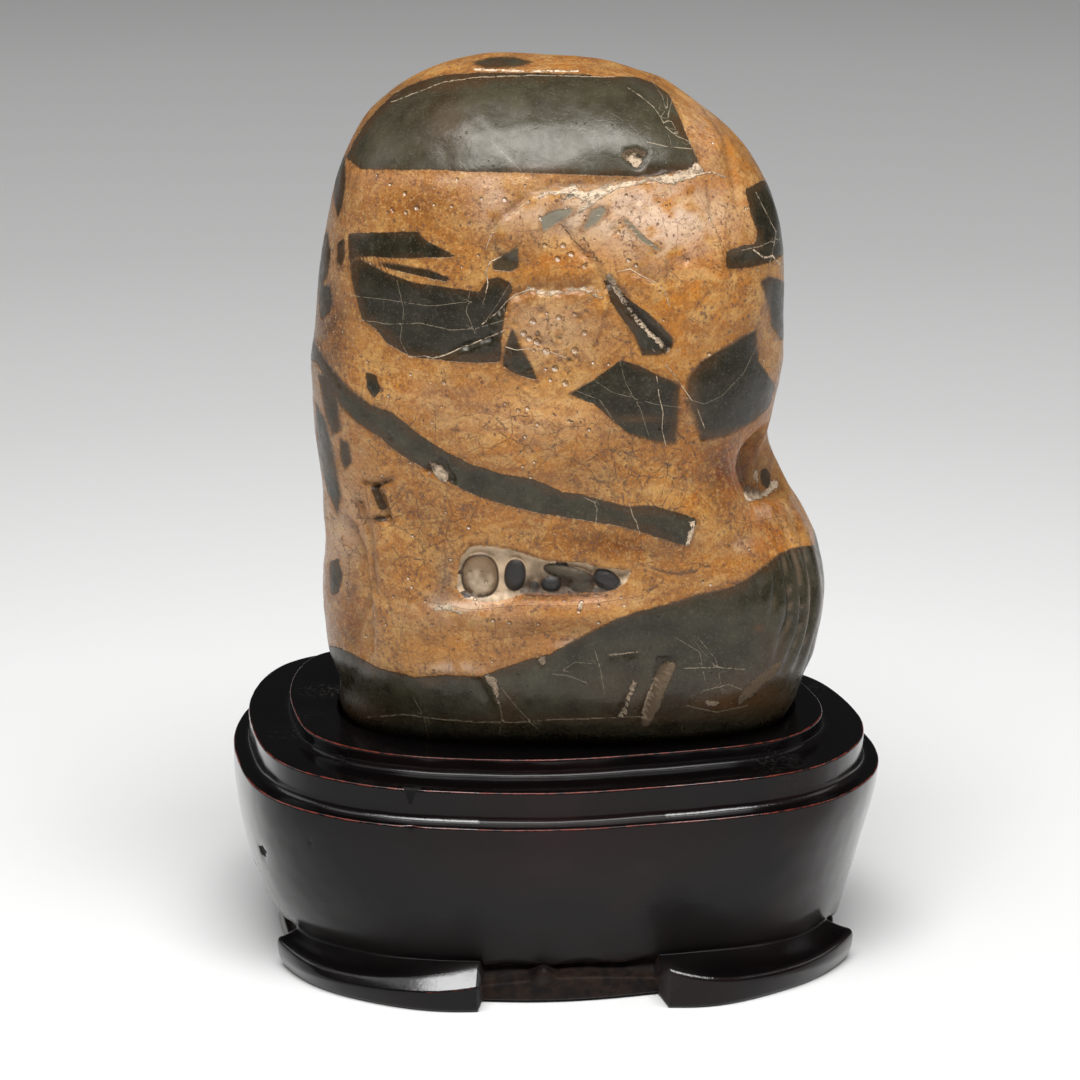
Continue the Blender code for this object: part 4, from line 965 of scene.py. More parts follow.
def slab_distance(p, turn, height, across, up, inward, lean):
    """Signed distance in mm to an angular slab that lies in the skin: the
    largest of the distances to its three pairs of faces, one pair aslant."""
    way, centre = skin_place(turn, height)
    tangent = np.array([-way[1], way[0], 0.0])
    upward = np.array([0.0, 0.0, 1.0])
    c = math.cos(math.radians(lean))
    s = math.sin(math.radians(lean))
    q = p - centre
    along = q @ (c * tangent + s * upward)
    rise = q @ (c * upward - s * tangent)
    depth = q @ way
    slant = 0.86 * along + 0.5 * rise
    return np.max([np.abs(along) - across, np.abs(rise) - up, np.abs(depth) - inward,
                   np.abs(slant) - 0.8 * across - 0.3 * up], axis=0)


def far_fragments(p):
    """Signed distance in mm to the nearest dark fragment of the far sides, and
    its tone: the listed slabs, seeded small chips and the bed at the foot."""
    found = [np.full(len(p), 1e3), np.zeros(len(p))]
    slabs = list(FAR_SLABS)
    draw = np.random.default_rng(FAR_SEED)
    for _ in range(FAR_CHIPS):
        slabs.append([draw.uniform(low, high) for low, high in CHIP_RANGES])
    for *slab, shade in slabs:
        found = nearest(found, (slab_distance(p, *slab), shade))
    bed = p[:, 2] - (BED_BACK[0] + BED_BACK[1] * p[:, 0]) + 2.0 * lattice_noise(p, 22.0, 41)
    return nearest(found, (bed, BED_TONE))


def far_lines(p, seed, half):
    """Veins of the far sides: seeded slanting planes that cut the skin; distance
    in mm to the nearest, and across it in half widths, signed."""
    draw = np.random.default_rng(seed)
    found = [np.full(len(p), 1e3)] * 2
    for k in range(FAR_VEIN_PLANES):
        way = unit(draw.normal(size=3))
        shift = draw.uniform(-35.0, 45.0)
        d = (p - np.array(STONE_HEART)) @ way - shift + 1.2 * lattice_noise(p, 12.0, 50 + k)
        found = nearest(found, (np.abs(d), d / half))
    return found


def pebble_marks(u, v):
    """-1 in a pebble's middle, 0 on its rim and more outside; its tone, and how
    far down its face each place lies, from -1 to 1."""
    found = [np.ones(len(u)), np.zeros(len(u)), np.zeros(len(u))]
    for cu, cv, ru, rv, _, turn, shade in PEBBLES:
        far = pebble_reach(u, v, cu, cv, ru, rv, turn)
        found = nearest(found, (far - 1.0, shade, (v - cv) / rv))
    return found


def stone_drawing(p, n, sunk):
    """Everything the stone's finish reads, one number per point and name."""
    u, v, to_eye = on_sheet(p)
    square = np.einsum("ij,ij->i", n, to_eye)
    hidden = np.clip(-square, 0.0, None) * TURNED_AWAY
    shown = np.clip(square, 0.0, None) * TURNED_AWAY
    seen = smooth_step(-0.15, 0.1, square)
    face, face_tone = nearest(nearest_area(u, v, FRAGMENTS),
                              (-chain_distance(u, v, BED_EDGE)[1] * UNIT, BED_TONE))
    face = face + hidden
    back, back_tone = far_fragments(p)
    back = np.where(p[:, 2] < BED_BACK[0] + BED_BACK[1] * p[:, 0] + 6.0, back, back + 0.6 * shown)
    back = np.where(square > 0.1, FAR_OFF, back)
    dark, tone = nearest((back, back_tone), (face, face_tone))
    front = square > 0.0
    veins = np.where(front, nearest_line(u, v, PALE_VEINS), far_lines(p, *FAR_VEINS))
    cracks = np.where(front, nearest_line(u, v, DARK_CRACKS), far_lines(p, *FAR_CRACKS))
    crusts = np.where(front, nearest_line(u, v, CRUSTS), FAR_OFF)
    patch, patch_tone = nearest_area(u, v, CRUST_PATCHES)
    pebble, pebble_tone, pebble_down = pebble_marks(u, v)
    rib, here = ribs(u, v)
    soft = {name: soft_spots(u, v, spots) * seen for name, spots in SPOTS.items()}
    away = 1.0 - seen
    return soft | {
        "dark": dark,
        "tone": tone,
        "vein_far": veins[0],
        "vein": veins[1],
        "crack_far": cracks[0],
        "crack": cracks[1],
        "crust_far": crusts[0],
        "crust": crusts[1],
        "patch": patch + FAR_OFF * away,
        "patch_tone": patch_tone,
        "blur": 0.16 + 0.75 * soft["blur"],
        "scar": smooth_step(0.60, 0.25, rib) * smooth_step(0.25, 0.6, here) * seen,
        "flame": soft["flame"] + 0.35 * away,
        "hollow": area_distance(u, v, PEBBLE_HOLLOW) * UNIT + FAR_OFF * away,
        "pebble": np.where(front, -pebble, -1.0),
        "pebble_tone": pebble_tone,
        "pebble_down": pebble_down,
        "stain_and_shadow": soft_spots(u, v, STAINS_AND_SHADOW),
        "sunk": sunk * seen,
        "pitted": np.clip(soft["pitted"] + 0.25 * away, 0.0, 1.0),
    }


def layered(p, size, seed, layers=3):
    """Cloudy noise about 0 of a size in mm: lattice noise and finer, weaker
    layers of it, kept roughly within -1 and 1."""
    total = np.zeros(len(p))
    for k in range(layers):
        total += lattice_noise(p, size / 2.1 ** k, seed + 100 * k) * 0.58 ** k
    return total * 1.25


def tint(base, share, colour):
    """A colour laid over one colour, or one per point, by a share per point."""
    share = np.clip(share, 0.0, 1.0)[:, None]
    return np.array(base) * (1.0 - share) + np.array(colour) * share


def ground_colour(p, drawing):
    """The honey-ochre ground's colour per point: broad paler and deeper clouds,
    an orange flush, a pinkish cream bloom that is partly painted sheen, russet
    mottling drawn out level, the left flank greyed as a painted reflection, two
    grey crusts, and brown halos round the fragments."""
    moved = p + 2.5 * np.stack([layered(p, 13.0, 200 + k, 2) for k in range(3)], axis=1)
    level = moved * np.array((1.0, 1.0, 1.9))
    colour = tint(OCHRE, smooth_step(-0.5, 0.6, layered(moved, 24.0, 210)), HONEY)
    flush = np.clip(0.30 + drawing.pop("flame"), 0.0, 1.0)
    colour = tint(colour, flush * smooth_step(-0.5, 0.4, layered(moved, 10.0, 220)), ORANGE)
    ember = drawing.pop("ember") * smooth_step(-1.0, 0.1, layered(moved, 8.0, 225))
    colour = tint(colour, 0.85 * ember, FLAME_DEEP)
    # partly painted sheen: the pinkish cream bloom also stands in for the light's broad highlight
    bloom_and_sheen = drawing["blush_and_sheen"] * smooth_step(-1.2, 0.1, layered(moved, 5.0, 230, 5))
    colour = tint(colour, 0.52 * smooth_step(0.05, 0.60, layered(level, 7.0, 240, 4)), RUSSET)
    colour = tint(colour, 0.50 * smooth_step(0.10, 0.60, layered(level, 5.0, 250, 4)), PALE_HONEY)
    colour = tint(colour, 0.60 * bloom_and_sheen, PINK_CREAM_AND_SHEEN)
    # painted reflection: the left flank greyed towards grey-pink, with two grey crusts by the hollow
    colour = tint(colour, 0.75 * drawing.pop("flank"), GREY_PINK)
    near = drawing["dark"] + 0.9 * layered(p, 6.0, 260)
    return tint(colour, 0.65 * (1.0 - smooth_step(0.0, 1.1, near)), HALO_BROWN)


def fragment_colour(p, drawing):
    """The dark fragments' colour per point: paler by their tone, faintly
    clouded, with brownish margins here and there.  A tone past 1 is a greyer,
    half buried sliver."""
    tone = drawing.pop("tone") + 0.30 * layered(p, 5.0, 270, 4)
    share = np.clip(tone, 0.0, 4.0)[:, None]
    colour = np.array(FRAGMENT_DARK) * (1.0 - share) + np.array(FRAGMENT_PALE) * share
    colour = tint(colour, smooth_step(2.5, 4.0, tone), SLIVER_GREY)
    margin = smooth_step(-2.2, 0.0, drawing["dark"] + 1.6 * layered(p, 8.0, 280))
    return tint(colour, 0.75 * margin * (1.0 - smooth_step(1.0, 3.0, tone)), FRAGMENT_BROWN)


def hollow_colours(p, drawing):
    """The pebble hollow's two colours per point: the creamy cement, browner
    where stained and, as a painted shadow, along its lower edge under the pebbles,
    and its pebbles, dark, brown or quartz by their tone, the
    quartz brown round the rim and paler towards its foot."""
    cement = tint(CEMENT_DARK, smooth_step(-0.9, 0.1, layered(p, 3.0, 290)), CEMENT)
    cement = tint(cement, drawing.pop("stain_and_shadow") + 0.15 * layered(p, 2.4, 295), CEMENT_BROWN)
    tone = drawing.pop("pebble_tone") + 0.14 * layered(p, 2.4, 300)
    stone = tint(PEBBLE_DARK, smooth_step(0.15, 0.5, tone), PEBBLE_BROWN)
    core = smooth_step(0.05, 0.35, drawing["pebble"] + 0.2 * layered(p, 4.0, 305))
    pale = core * smooth_step(-0.10, 0.55, drawing.pop("pebble_down") + 0.35 * layered(p, 5.0, 307))
    quartz = smooth_step(0.55, 0.95, tone)
    stone = tint(stone, quartz, PEBBLE_RIM)
    return cement, tint(stone, (0.10 * core + 0.90 * pale) * quartz, PEBBLE_QUARTZ)


def stone_surface():
    """The stone's points and cells and what its finish reads.

    Rays leave the heart along a cube grid's directions, crowded to the front,
    and meet the pillow; each point then moves along the pillow's normal by the
    relief of the face, of the far sides and of seeded noise."""
    directions, cells = cube_grid(CUBE_STEPS)
    p = cast(np.array(STONE_HEART), unit(directions + np.array(FRONT_CROWDING)))
    n = field_normals(p)
    u, v, to_eye = on_sheet(p)
    seen = smooth_step(0.02, 0.22, np.einsum("ij,ij->i", n, to_eye))
    front, sunk = face_relief(u, v)
    rise = front * seen + far_relief(p) * (1.0 - seen)
    for cell, height, seed in LUMPS:
        rise += height * lattice_noise(p, cell, seed)
    moved = p + n * rise[:, None]
    drawing = stone_drawing(moved, n, sunk)
    # painted shade and light: the spots darken the ground and, less, the fragments, and a negative amount
    # lightens them
    shade = 1.0 - drawing.pop("shade")[:, None] * np.array((0.86, 1.0, 1.10))
    drawing["ground"] = ground_colour(p, drawing) * shade
    drawing["fragment"] = fragment_colour(p, drawing) * (0.25 + 0.75 * shade)
    drawing["cement"], drawing["gem"] = hollow_colours(p, drawing)
    drawing["fragment"] = tint(drawing["fragment"], drawing.pop("rust"), RUST)
    drawing["fragment"] = tint(drawing["fragment"], 0.8 * drawing.pop("scar"), SCAR_TAN)
    netted = soft_spots(u, v, NETTED) * smooth_step(0.0, 0.2, seen)
    drawing["netted"] = np.clip(netted + 0.6 * smooth_step(0.0, 0.35, layered(p, 16.0, 310)), 0.0, 1.0)
    drawing["speckled"] = smooth_step(-0.25, 0.35, layered(p, 9.0, 320))
    rise += FRAGMENT_PROUD * (1.0 - smooth_step(-0.5, 0.5, drawing["dark"]))
    crusted = 1.0 - smooth_step(-0.6, 0.4, drawing["patch"])
    rise += CRUST_PROUD * crusted * (0.6 + lattice_noise(p, 2.2, 34))
    rise *= smooth_step(*QUIET_BELOW, p[:, 2])
    return p + n * rise[:, None], cells, drawing


# ---- the stand's surface
def closed_spline(points, count):
    """A smooth closed curve through the points, sampled evenly along its length.

    Cubic Hermite pieces whose slopes make the second derivative continuous
    all the way round."""
    pts = row(points)
    n = len(pts)
    system = np.zeros((n, n))
    right = np.zeros((n, 2))
    for i in range(n):
        system[i, i - 1] = 1.0
        system[i, i] = 4.0
        system[i, (i + 1) % n] = 1.0
        right[i] = 3.0 * (pts[(i + 1) % n] - pts[i - 1])
    slope = np.linalg.solve(system, right)
    t = (np.arange(SPLINE_STEPS) / SPLINE_STEPS)[:, None]
    pieces = []
    for i in range(n):
        j = (i + 1) % n
        pieces.append(hermite(t, pts[i], pts[j], slope[i], slope[j]))
    fine = np.vstack(pieces)
    loop = np.vstack([fine, fine[:1]])
    run = np.concatenate([[0.0], np.cumsum(np.hypot(*np.diff(loop, axis=0).T))])
    want = np.linspace(0.0, run[-1], count + 1)[:-1]
    return np.stack([np.interp(want, run, loop[:, k]) for k in (0, 1)], axis=1)


def stand_columns(count):
    """Plan points of the widest edge with their outward normals and directions,
    and a close pair at each end of each foot, where it ends in an upright face."""
    fine = closed_spline(STAND_PLAN, PLAN_SAMPLES)
    turn = np.unwrap(np.arctan2(fine[:, 1], fine[:, 0]))
    along = np.roll(fine, -1, axis=0) - np.roll(fine, 1, axis=0)
    normal = unit(np.stack([along[:, 1], -along[:, 0]], axis=1))
    keep = turn[::len(fine) // count]
    half = np.radians(FOOT_END_STEP)
    for first, last, *_ in FEET:
        for end in (np.radians(first), np.radians(last)):
            wrapped = turn[0] + (end - turn[0]) % (2.0 * np.pi)
            keep = keep[np.abs(keep - wrapped) > 1.7 * half]
            keep = np.append(keep, (wrapped - half, wrapped + half))
    keep = np.sort(keep)
    at = [np.interp(keep, turn, c) for c in (fine[:, 0], fine[:, 1], normal[:, 0], normal[:, 1])]
    return np.stack(at[:2], axis=1), np.stack(at[2:], axis=1), np.degrees(keep)


def apart(direction, middle):
    """How far directions lie from a middle one, -180 to 180 degrees."""
    return (direction - middle + 180.0) % 360.0 - 180.0


def foot_shares(direction):
    """1 on a foot, less at its outer end, and 0 in a gap; the lip's height and
    extra reach there (mm); how filled the scoop and how blunt the end, 0 to 1."""
    on = np.zeros(len(direction))
    lip = np.full(len(direction), FOOT_LIP_LOW)
    reach = np.zeros(len(direction))
    filled = np.zeros(len(direction))
    blunt = np.zeros(len(direction))
    for first, last, inner, rise, full in FEET:
        past = (direction - first) % 360.0
        outer = apart(direction, first + last - inner)
        on = np.where(past < last - first, smooth_step(-1.0, FOOT_END_FADE, np.abs(outer)), on)
        off = np.abs(apart(direction, inner))
        lip += rise * np.exp(-off / FOOT_LIP_FADE)
        filled += full * bell(off / FOOT_FILL_REACH)
        blunt += bell(outer / FOOT_BLUNT_REACH)
    for middle, spread, extra in FOOT_FULLNESS:
        reach += extra * bell(apart(direction, middle) / spread)
    return on, lip, reach, filled, blunt


def gap_waves(direction):
    """Wavy lower edge of the apron, its knob and the arch of the strip (mm)."""
    wave = APRON_WAVE * np.cos(np.radians(direction * 18.0 + 20.0))
    knob = KNOB[2] * bell(apart(direction, KNOB[0]) / KNOB[1])
    arch = np.zeros(len(direction))
    for foot, following in zip(FEET, FEET[1:] + FEET[:1]):
        width = (following[0] - foot[1]) % 360.0
        past = (direction - foot[1]) % 360.0
        share = np.where(past < width, past / width, 0.0)
        arch += STRIP_ARCH * np.sin(np.pi * share)
    return wave, knob, arch


def stone_ring(toward, height, clear):
    """Points round the stone at one height, each pushed out by the clearance."""
    heart = np.array([*STONE_AXIS, height])
    p = cast(heart, unit(np.column_stack([toward - heart[:2], np.zeros(len(toward))])))
    return p[:, :2] + unit(field_normals(p)[:, :2]) * clear


def stand_rings(plan, normal, direction):
    """The stand's section as rings of corner points from the socket's floor to
    the underside, each with a rounding in mm and how worn its edge is.

    Each ring is the plan moved in by a distance, at a height; on the feet and
    in the gaps both change from column to column."""
    ones = np.ones(len(plan))

    def ring(inset, height):
        """The plan moved in by the inset, at the height."""
        xy = plan - normal * (inset * ones)[:, None]
        return np.column_stack([xy, height * ones])

    def either(on_foot, in_gap):
        """One number on the feet, another in the gaps."""
        return on * on_foot + (1.0 - on) * in_gap

    top = ring(TOP_TIER_IN, TOP_TIER)
    mouth = stone_ring(top[:, :2], TOP_TIER, SOCKET_CLEAR)
    lip = stone_ring(top[:, :2], TOP_TIER, SOCKET_CLEAR + 0.7)
    middle = np.array(STONE_AXIS)
    belly = BELLY[2] * bell(apart(direction, BELLY[0]) / BELLY[1])
    sideways = np.cos(np.radians(direction)) ** 2
    side = WAIST_SIDE_OUT * sideways
    on, lip_height, fuller, filled, blunt = foot_shares(direction)
    wave, knob, arch = gap_waves(direction)
    lip_in = FOOT_LIP_IN - fuller
    strip_top = STRIP_TOP + arch
    strip_in = PLINTH_IN + PLINTH_SIDE_IN * sideways
    waist = WAIST_IN - side
    foot_in = lip_in + 1.3 * blunt
    scoop = 0.30 * WAIST_HEIGHT + 0.70 * lip_height - 1.0 + 3.6 * filled + 3.0 * blunt
    crest = lip_height + 0.1 + 3.7 * filled + 3.4 * blunt
    return (
        (np.column_stack([middle + (mouth - middle) * 0.5, SOCKET_FLOOR * ones]), 0.3, 0.0),
        (np.column_stack([mouth, SOCKET_FLOOR * ones]), 0.3, 0.0),
        (np.column_stack([mouth, (TOP_TIER - 0.7) * ones]), 0.3, 0.0),
        (np.column_stack([lip, TOP_TIER * ones]), 0.4, 0.35),
        (top, TIER_ROUND, 1.0),
        (ring(TOP_TIER_IN + 0.5, MIDDLE_TIER), COVE_ROUND, 0.0),
        (ring(MIDDLE_TIER_IN, MIDDLE_TIER), TIER_ROUND, 1.0),
        (ring(MIDDLE_TIER_IN + 0.5, BODY_TOP), COVE_ROUND, 0.0),
        (ring(0.0, BODY_TOP), TIER_ROUND, 1.0),
        *((ring(inset - b * belly - s * side, height), BODY_ROUND, 0.0)
          for height, inset, b, s in BODY_TAPER),
        (ring(waist - 0.3, either(WAIST_HEIGHT + 0.6, APRON_LOW + wave)), 1.4, 0.0),
        (ring(either(waist + 0.4, APRON_IN), either(WAIST_HEIGHT - 0.9, STRIP_ROOF)), 0.6, 0.0),
        (ring(either(0.5 * waist + 0.5 * lip_in + 2.0 * filled, 0.5 * (APRON_IN + strip_in) - knob),
              either(scoop, strip_top + 0.3 + 1.3 * knob)), 5.0, 0.0),
        (ring(either(lip_in + 1.0 + 4.4 * filled - 0.4 * blunt, strip_in + 0.3 - 0.8 * knob),
              either(crest, strip_top + 0.9 * knob)), 0.5 + 2.2 * filled + 3.0 * blunt, 0.0),
        (ring(either(foot_in + 0.1, strip_in), either(lip_height - 0.9 - 1.2 * blunt, strip_top - 1.2)),
         0.6 + 0.8 * blunt, either(0.60 + 0.35 * filled, 0.0)),
        (ring(either(foot_in + FOOT_LEAN, strip_in), either(0.7, 1.1)), 0.8, 0.0),
        (ring(either(foot_in + FOOT_LEAN + 0.6, strip_in + 0.7), either(0.0, 0.5)), 0.3, 0.0),
        (ring(PAD_IN, either(0.0, 0.5)), 0.3, 0.0),
        (ring(PAD_IN + 1.5, UNDERSIDE), 0.3, 0.0),
    )


def rounded(rings):
    """Rings with every corner rounded: a quadratic curve from the point one
    rounding back along the section, by the corner, to the point one ahead."""
    t = np.linspace(0.0, 1.0, ROUND_STEPS)
    places = []
    worn = []
    last = len(rings) - 1
    for k, (corner, reach, wear) in enumerate(rings):
        if k in (0, last):
            places.append(corner)
            worn.append(wear * np.ones(len(corner)))
            continue
        back = rings[k - 1][0] - corner
        ahead = rings[k + 1][0] - corner
        back *= np.minimum(reach / (np.linalg.norm(back, axis=1) + 1e-9), 0.47)[:, None]
        ahead *= np.minimum(reach / (np.linalg.norm(ahead, axis=1) + 1e-9), 0.47)[:, None]
        for s in t:
            places.append(corner + back * (1.0 - s) ** 2 + ahead * s ** 2)
            worn.append(wear * 4.0 * s * (1.0 - s) * np.ones(len(corner)))
    return np.stack(places), np.stack(worn)


def stand_surface():
    """The stand's points and cells and what its finish reads.

    The two parameters are the direction round the plan and the place along the
    rounded section.  A little seeded unevenness of the carving, the nick in the
    widest edge and the chip's mark are added; a fan closes each end."""
    plan, normal, direction = stand_columns(STAND_COLUMNS)
    places, worn = rounded(stand_rings(plan, normal, direction))
    rows, count = worn.shape
    p = places.reshape(-1, 3)
    out = np.column_stack([np.tile(normal, (rows, 1)), np.zeros(len(p))])
    free = smooth_step(2.0, 6.0, p[:, 2]) * (1.0 - smooth_step(TOP_TIER - 1.0, TOP_TIER, p[:, 2]))
    carved = 0.16 * lattice_noise(p, 11.0, 61) + 0.05 * lattice_noise(p, 3.5, 62)
    p += out * (carved * free)[:, None]
    p[:, 2] += 0.10 * lattice_noise(p, 14.0, 63) * free
    p -= out * (0.9 * soft_ball(p, NICK[:3], NICK[3]))[:, None]
    mark = stand_marks(p)
    p -= out * (0.30 * (1.0 - smooth_step(-0.5, 0.3, mark)))[:, None]
    steepness = section_steepness(p.reshape(rows, count, 3))
    inset = np.einsum("ij,ij->i", np.tile(plan, (rows, 1)) - p[:, :2], out[:, :2])
    foot = np.tile(foot_shares(direction)[0], rows)
    p = np.vstack([p, [[*STONE_AXIS, SOCKET_FLOOR], [0.0, 0.0, UNDERSIDE]]])
    cells, i, j = ring_net(rows, count)
    top = len(p) - 2
    end = (rows - 1) * count
    fans = np.vstack([np.stack([np.full(count, top), i, j], axis=1),
                      np.stack([np.full(count, top + 1), end + j, end + i], axis=1)])
    drawing = stand_drawing(p, ended(steepness), ended(inset, FAR_IN), ended(foot), ended(1.0 - foot))
    drawing["wear"] = ended(worn.reshape(-1))
    drawing["mark"] = ended(mark, FAR_OFF)
    return p, cells, fans, drawing


def ended(values, end=0.0):
    """Numbers of the section's points and then the same one for both end points."""
    return np.append(values, (end, end))


def stand_drawing(p, upright, inset, foot, gap):
    """What the finish reads of the lacquer, from how upright a place is, how far
    in from the widest edge it lies and whether it is on a foot or in a gap. The
    lacquer's colour is painted darker where the section lies flat, a painted shade
    on the treads."""
    cast_red = 0.3 * upright * smooth_step(0.2, 0.8, layered(p, 40.0, 330))
    cast_red += 0.6 * soft_ball(p, RED_CAST[:3], RED_CAST[3:])
    # painted shade: the lacquer's colour falls to 0.45 on flat treads, darker than on the upright walls
    lacquer = tint(LACQUER, cast_red, LACQUER_RED) * (0.45 + 0.55 * upright)[:, None]
    low = smooth_step(8.5, 12.0, p[:, 2]) * (1.0 - smooth_step(16.0, 32.0, p[:, 2]))
    gloss = np.interp(smooth_step(-0.6, 0.8, layered(p, 16.0, 340)), (0.0, 1.0), LACQUER_GLOSS)
    rolled = smooth_step(0.25, 0.5, upright) * (1.0 - smooth_step(0.82, 0.94, upright))
    rolled *= 1.0 - smooth_step(8.5, 10.5, inset)
    return {
        "rolled": rolled * smooth_step(1.0, 3.0, p[:, 2]) * foot,
        # the lacquer greyed a little low on the body, between about 9 and 32 mm up
        "lacquer": tint(lacquer, 0.04 * low, DUST_GREY),
        "gloss": gloss * (0.7 + 0.3 * upright) + 0.28 * low,
        "upright": smooth_step(0.4, 0.9, upright),
        "gap": gap * (1.0 - smooth_step(9.0, 12.0, p[:, 2])),
        "rubbed": rubbed_spots(p),
    }


def ring_net(rings, count):
    """Corner numbers of the cells between closed rings of count points, and
    the numbers of each point round a ring and of the one after it."""
    i = np.arange(count)
    j = (i + 1) % count
    start = (np.arange(rings - 1) * count)[:, None]
    cells = np.stack([start + i, start + count + i, start + count + j, start + j], axis=-1)
    return cells.reshape(-1, 4), i, j


def section_steepness(grid):
    """How steeply the section climbs at each point: 0 on a tread, 1 on a wall."""
    along = np.gradient(grid, axis=0)
    return (np.abs(along[:, :, 2]) / (np.linalg.norm(along, axis=2) + 1e-9)).reshape(-1)


def stand_marks(p):
    """Signed distance in mm to the nearest black mark of the stand's front."""
    u, v, _ = on_sheet(p)
    best = np.full(len(p), FAR_OFF)
    for outline in STAND_MARKS:
        best = np.minimum(best, area_distance(u, v, outline) * UNIT)
    return np.where(p[:, 1] < 0.0, best, FAR_OFF)


def rubbed_spots(p):
    """Dusty rubbed places of the stand, 0 to 1: soft balls round given points."""
    total = np.zeros(len(p))
    for *middle, reach, amount in RUBBED:
        total += amount * soft_ball(p, middle, reach)
    return np.clip(total, 0.0, 1.0)


# ---- finishes
def feed(tree, socket, value):
    """Join a value to a socket: another node's output, a colour or a number."""
    if isinstance(value, bpy.types.NodeSocket):
        tree.links.new(value, socket)
    elif isinstance(value, tuple):
        socket.default_value = (*value, 1.0)
    else:
        socket.default_value = value


def add(tree, kind, inputs, **settings):
    """A node with its settings made and its inputs fed, by name or number."""
    made = tree.nodes.new(kind)
    for name, value in settings.items():
        setattr(made, name, value)
    for name, value in inputs.items():
        feed(tree, made.inputs[name], value)
    return made


def number(tree, name):
    """A number that the surface carries at each point."""
    return add(tree, "ShaderNodeAttribute", {}, attribute_name=name).outputs["Fac"]


def carried_colour(tree, name):
    """A colour that the surface carries at each point."""
    return add(tree, "ShaderNodeAttribute", {}, attribute_name=name).outputs["Color"]


def sums(tree, operation, a, b=0.0, c=0.0):
    """Plain arithmetic on numbers."""
    return add(tree, "ShaderNodeMath", {0: a, 1: b, 2: c}, operation=operation).outputs[0]


def times(tree, a, b):
    """One number times another."""
    return sums(tree, "MULTIPLY", a, b)


def plus(tree, a, b):
    """Two numbers added."""
    return sums(tree, "ADD", a, b)


def scaled(tree, a, b, c):
    """One number times another, and a third added."""
    return sums(tree, "MULTIPLY_ADD", a, b, c)


def between(tree, value, low, high, to_low=0.0, to_high=1.0):
    """A soft step of a number from one level to another."""
    levels = {"Value": value, "From Min": low, "From Max": high, "To Min": to_low, "To Max": to_high}
    return add(tree, "ShaderNodeMapRange", levels, interpolation_type="SMOOTHSTEP").outputs["Result"]


def blend(tree, share, a, b):
    """Colour b over colour a by a share."""
    return add(tree, "ShaderNodeMix", {0: share, 6: a, 7: b}, data_type="RGBA").outputs[2]


def clouds(tree, place, size, detail=3.0, rough=0.55, swirl=0.0):
    """Cloudy noise of a size in mm, about 0.5."""
    grain = {"Scale": 1.0 / (size * MM), "Detail": detail, "Roughness": rough, "Distortion": swirl}
    return add(tree, "ShaderNodeTexNoise", {"Vector": place} | grain).outputs["Fac"]


def grains(tree, place, size, feature="F1"):
    """Scattered points about a size in mm apart, as a node: its Distance, in
    cells, is that to the nearest point, or to the border between two."""
    return add(tree, "ShaderNodeTexVoronoi", {"Vector": place, "Scale": 1.0 / (size * MM)}, feature=feature)


def pitting(tree, place, size, spread, shrink):
    """Round pits scattered about one cell size apart in mm, of sizes drawn per
    pit: 1 in a pit, and how far up its wall a place is, from -1 to 1."""
    made = grains(tree, place, size)
    far = scaled(tree, made.outputs["Color"], spread, made.outputs["Distance"])
    pit = between(tree, plus(tree, far, shrink), 0.31, 0.39, 1.0, 0.0)
    off = add(tree, "ShaderNodeVectorMath", {0: place, 1: made.outputs["Position"]}, operation="SUBTRACT")
    up = add(tree, "ShaderNodeVectorMath", {0: off.outputs[0]}, operation="DOT_PRODUCT")
    up.inputs[1].default_value = [share / (size * MM) for share in PIT_UPWARD]
    return pit, up.outputs["Value"]


def bent(tree, place, size, amount):
    """The place moved about by cloudy noise, both in mm."""
    noise = add(tree, "ShaderNodeTexNoise", {"Vector": place, "Scale": 1.0 / (size * MM), "Detail": 3.0})
    inputs = {0: noise.outputs["Color"], 2: place}
    shift = add(tree, "ShaderNodeVectorMath", inputs, operation="MULTIPLY_ADD")
    shift.inputs[1].default_value = (2.0 * amount * MM,) * 3
    return shift.outputs[0]


def raised(tree, height, depth):
    """Fine relief: a height times a depth in mm."""
    inputs = {"Strength": 1.0, "Distance": depth * MM, "Height": height}
    return add(tree, "ShaderNodeBump", inputs).outputs["Normal"]


def new_finish(name):
    """An empty material with its shader and the place on the piece."""
    material = bpy.data.materials.new(name)
    material.use_nodes = True
    tree = material.node_tree
    shader = tree.nodes["Principled BSDF"]
    place = add(tree, "ShaderNodeTexCoord", {}).outputs["Object"]
    return material, tree, shader, place


def line_share(tree, wobble, amount, broken, across, far):
    """1 along a line that carries its distance, moved aside by noise times an
    amount in half widths, and broken up by finer noise."""
    wavy = scaled(tree, wobble, amount, plus(tree, number(tree, across), -0.5 * amount))
    thin = between(tree, sums(tree, "ABSOLUTE", wavy), 0.4, 1.3, 1.0, 0.0)
    near = between(tree, number(tree, far), 0.9, 1.3, 1.0, 0.0)
    return times(tree, times(tree, thin, near), broken)


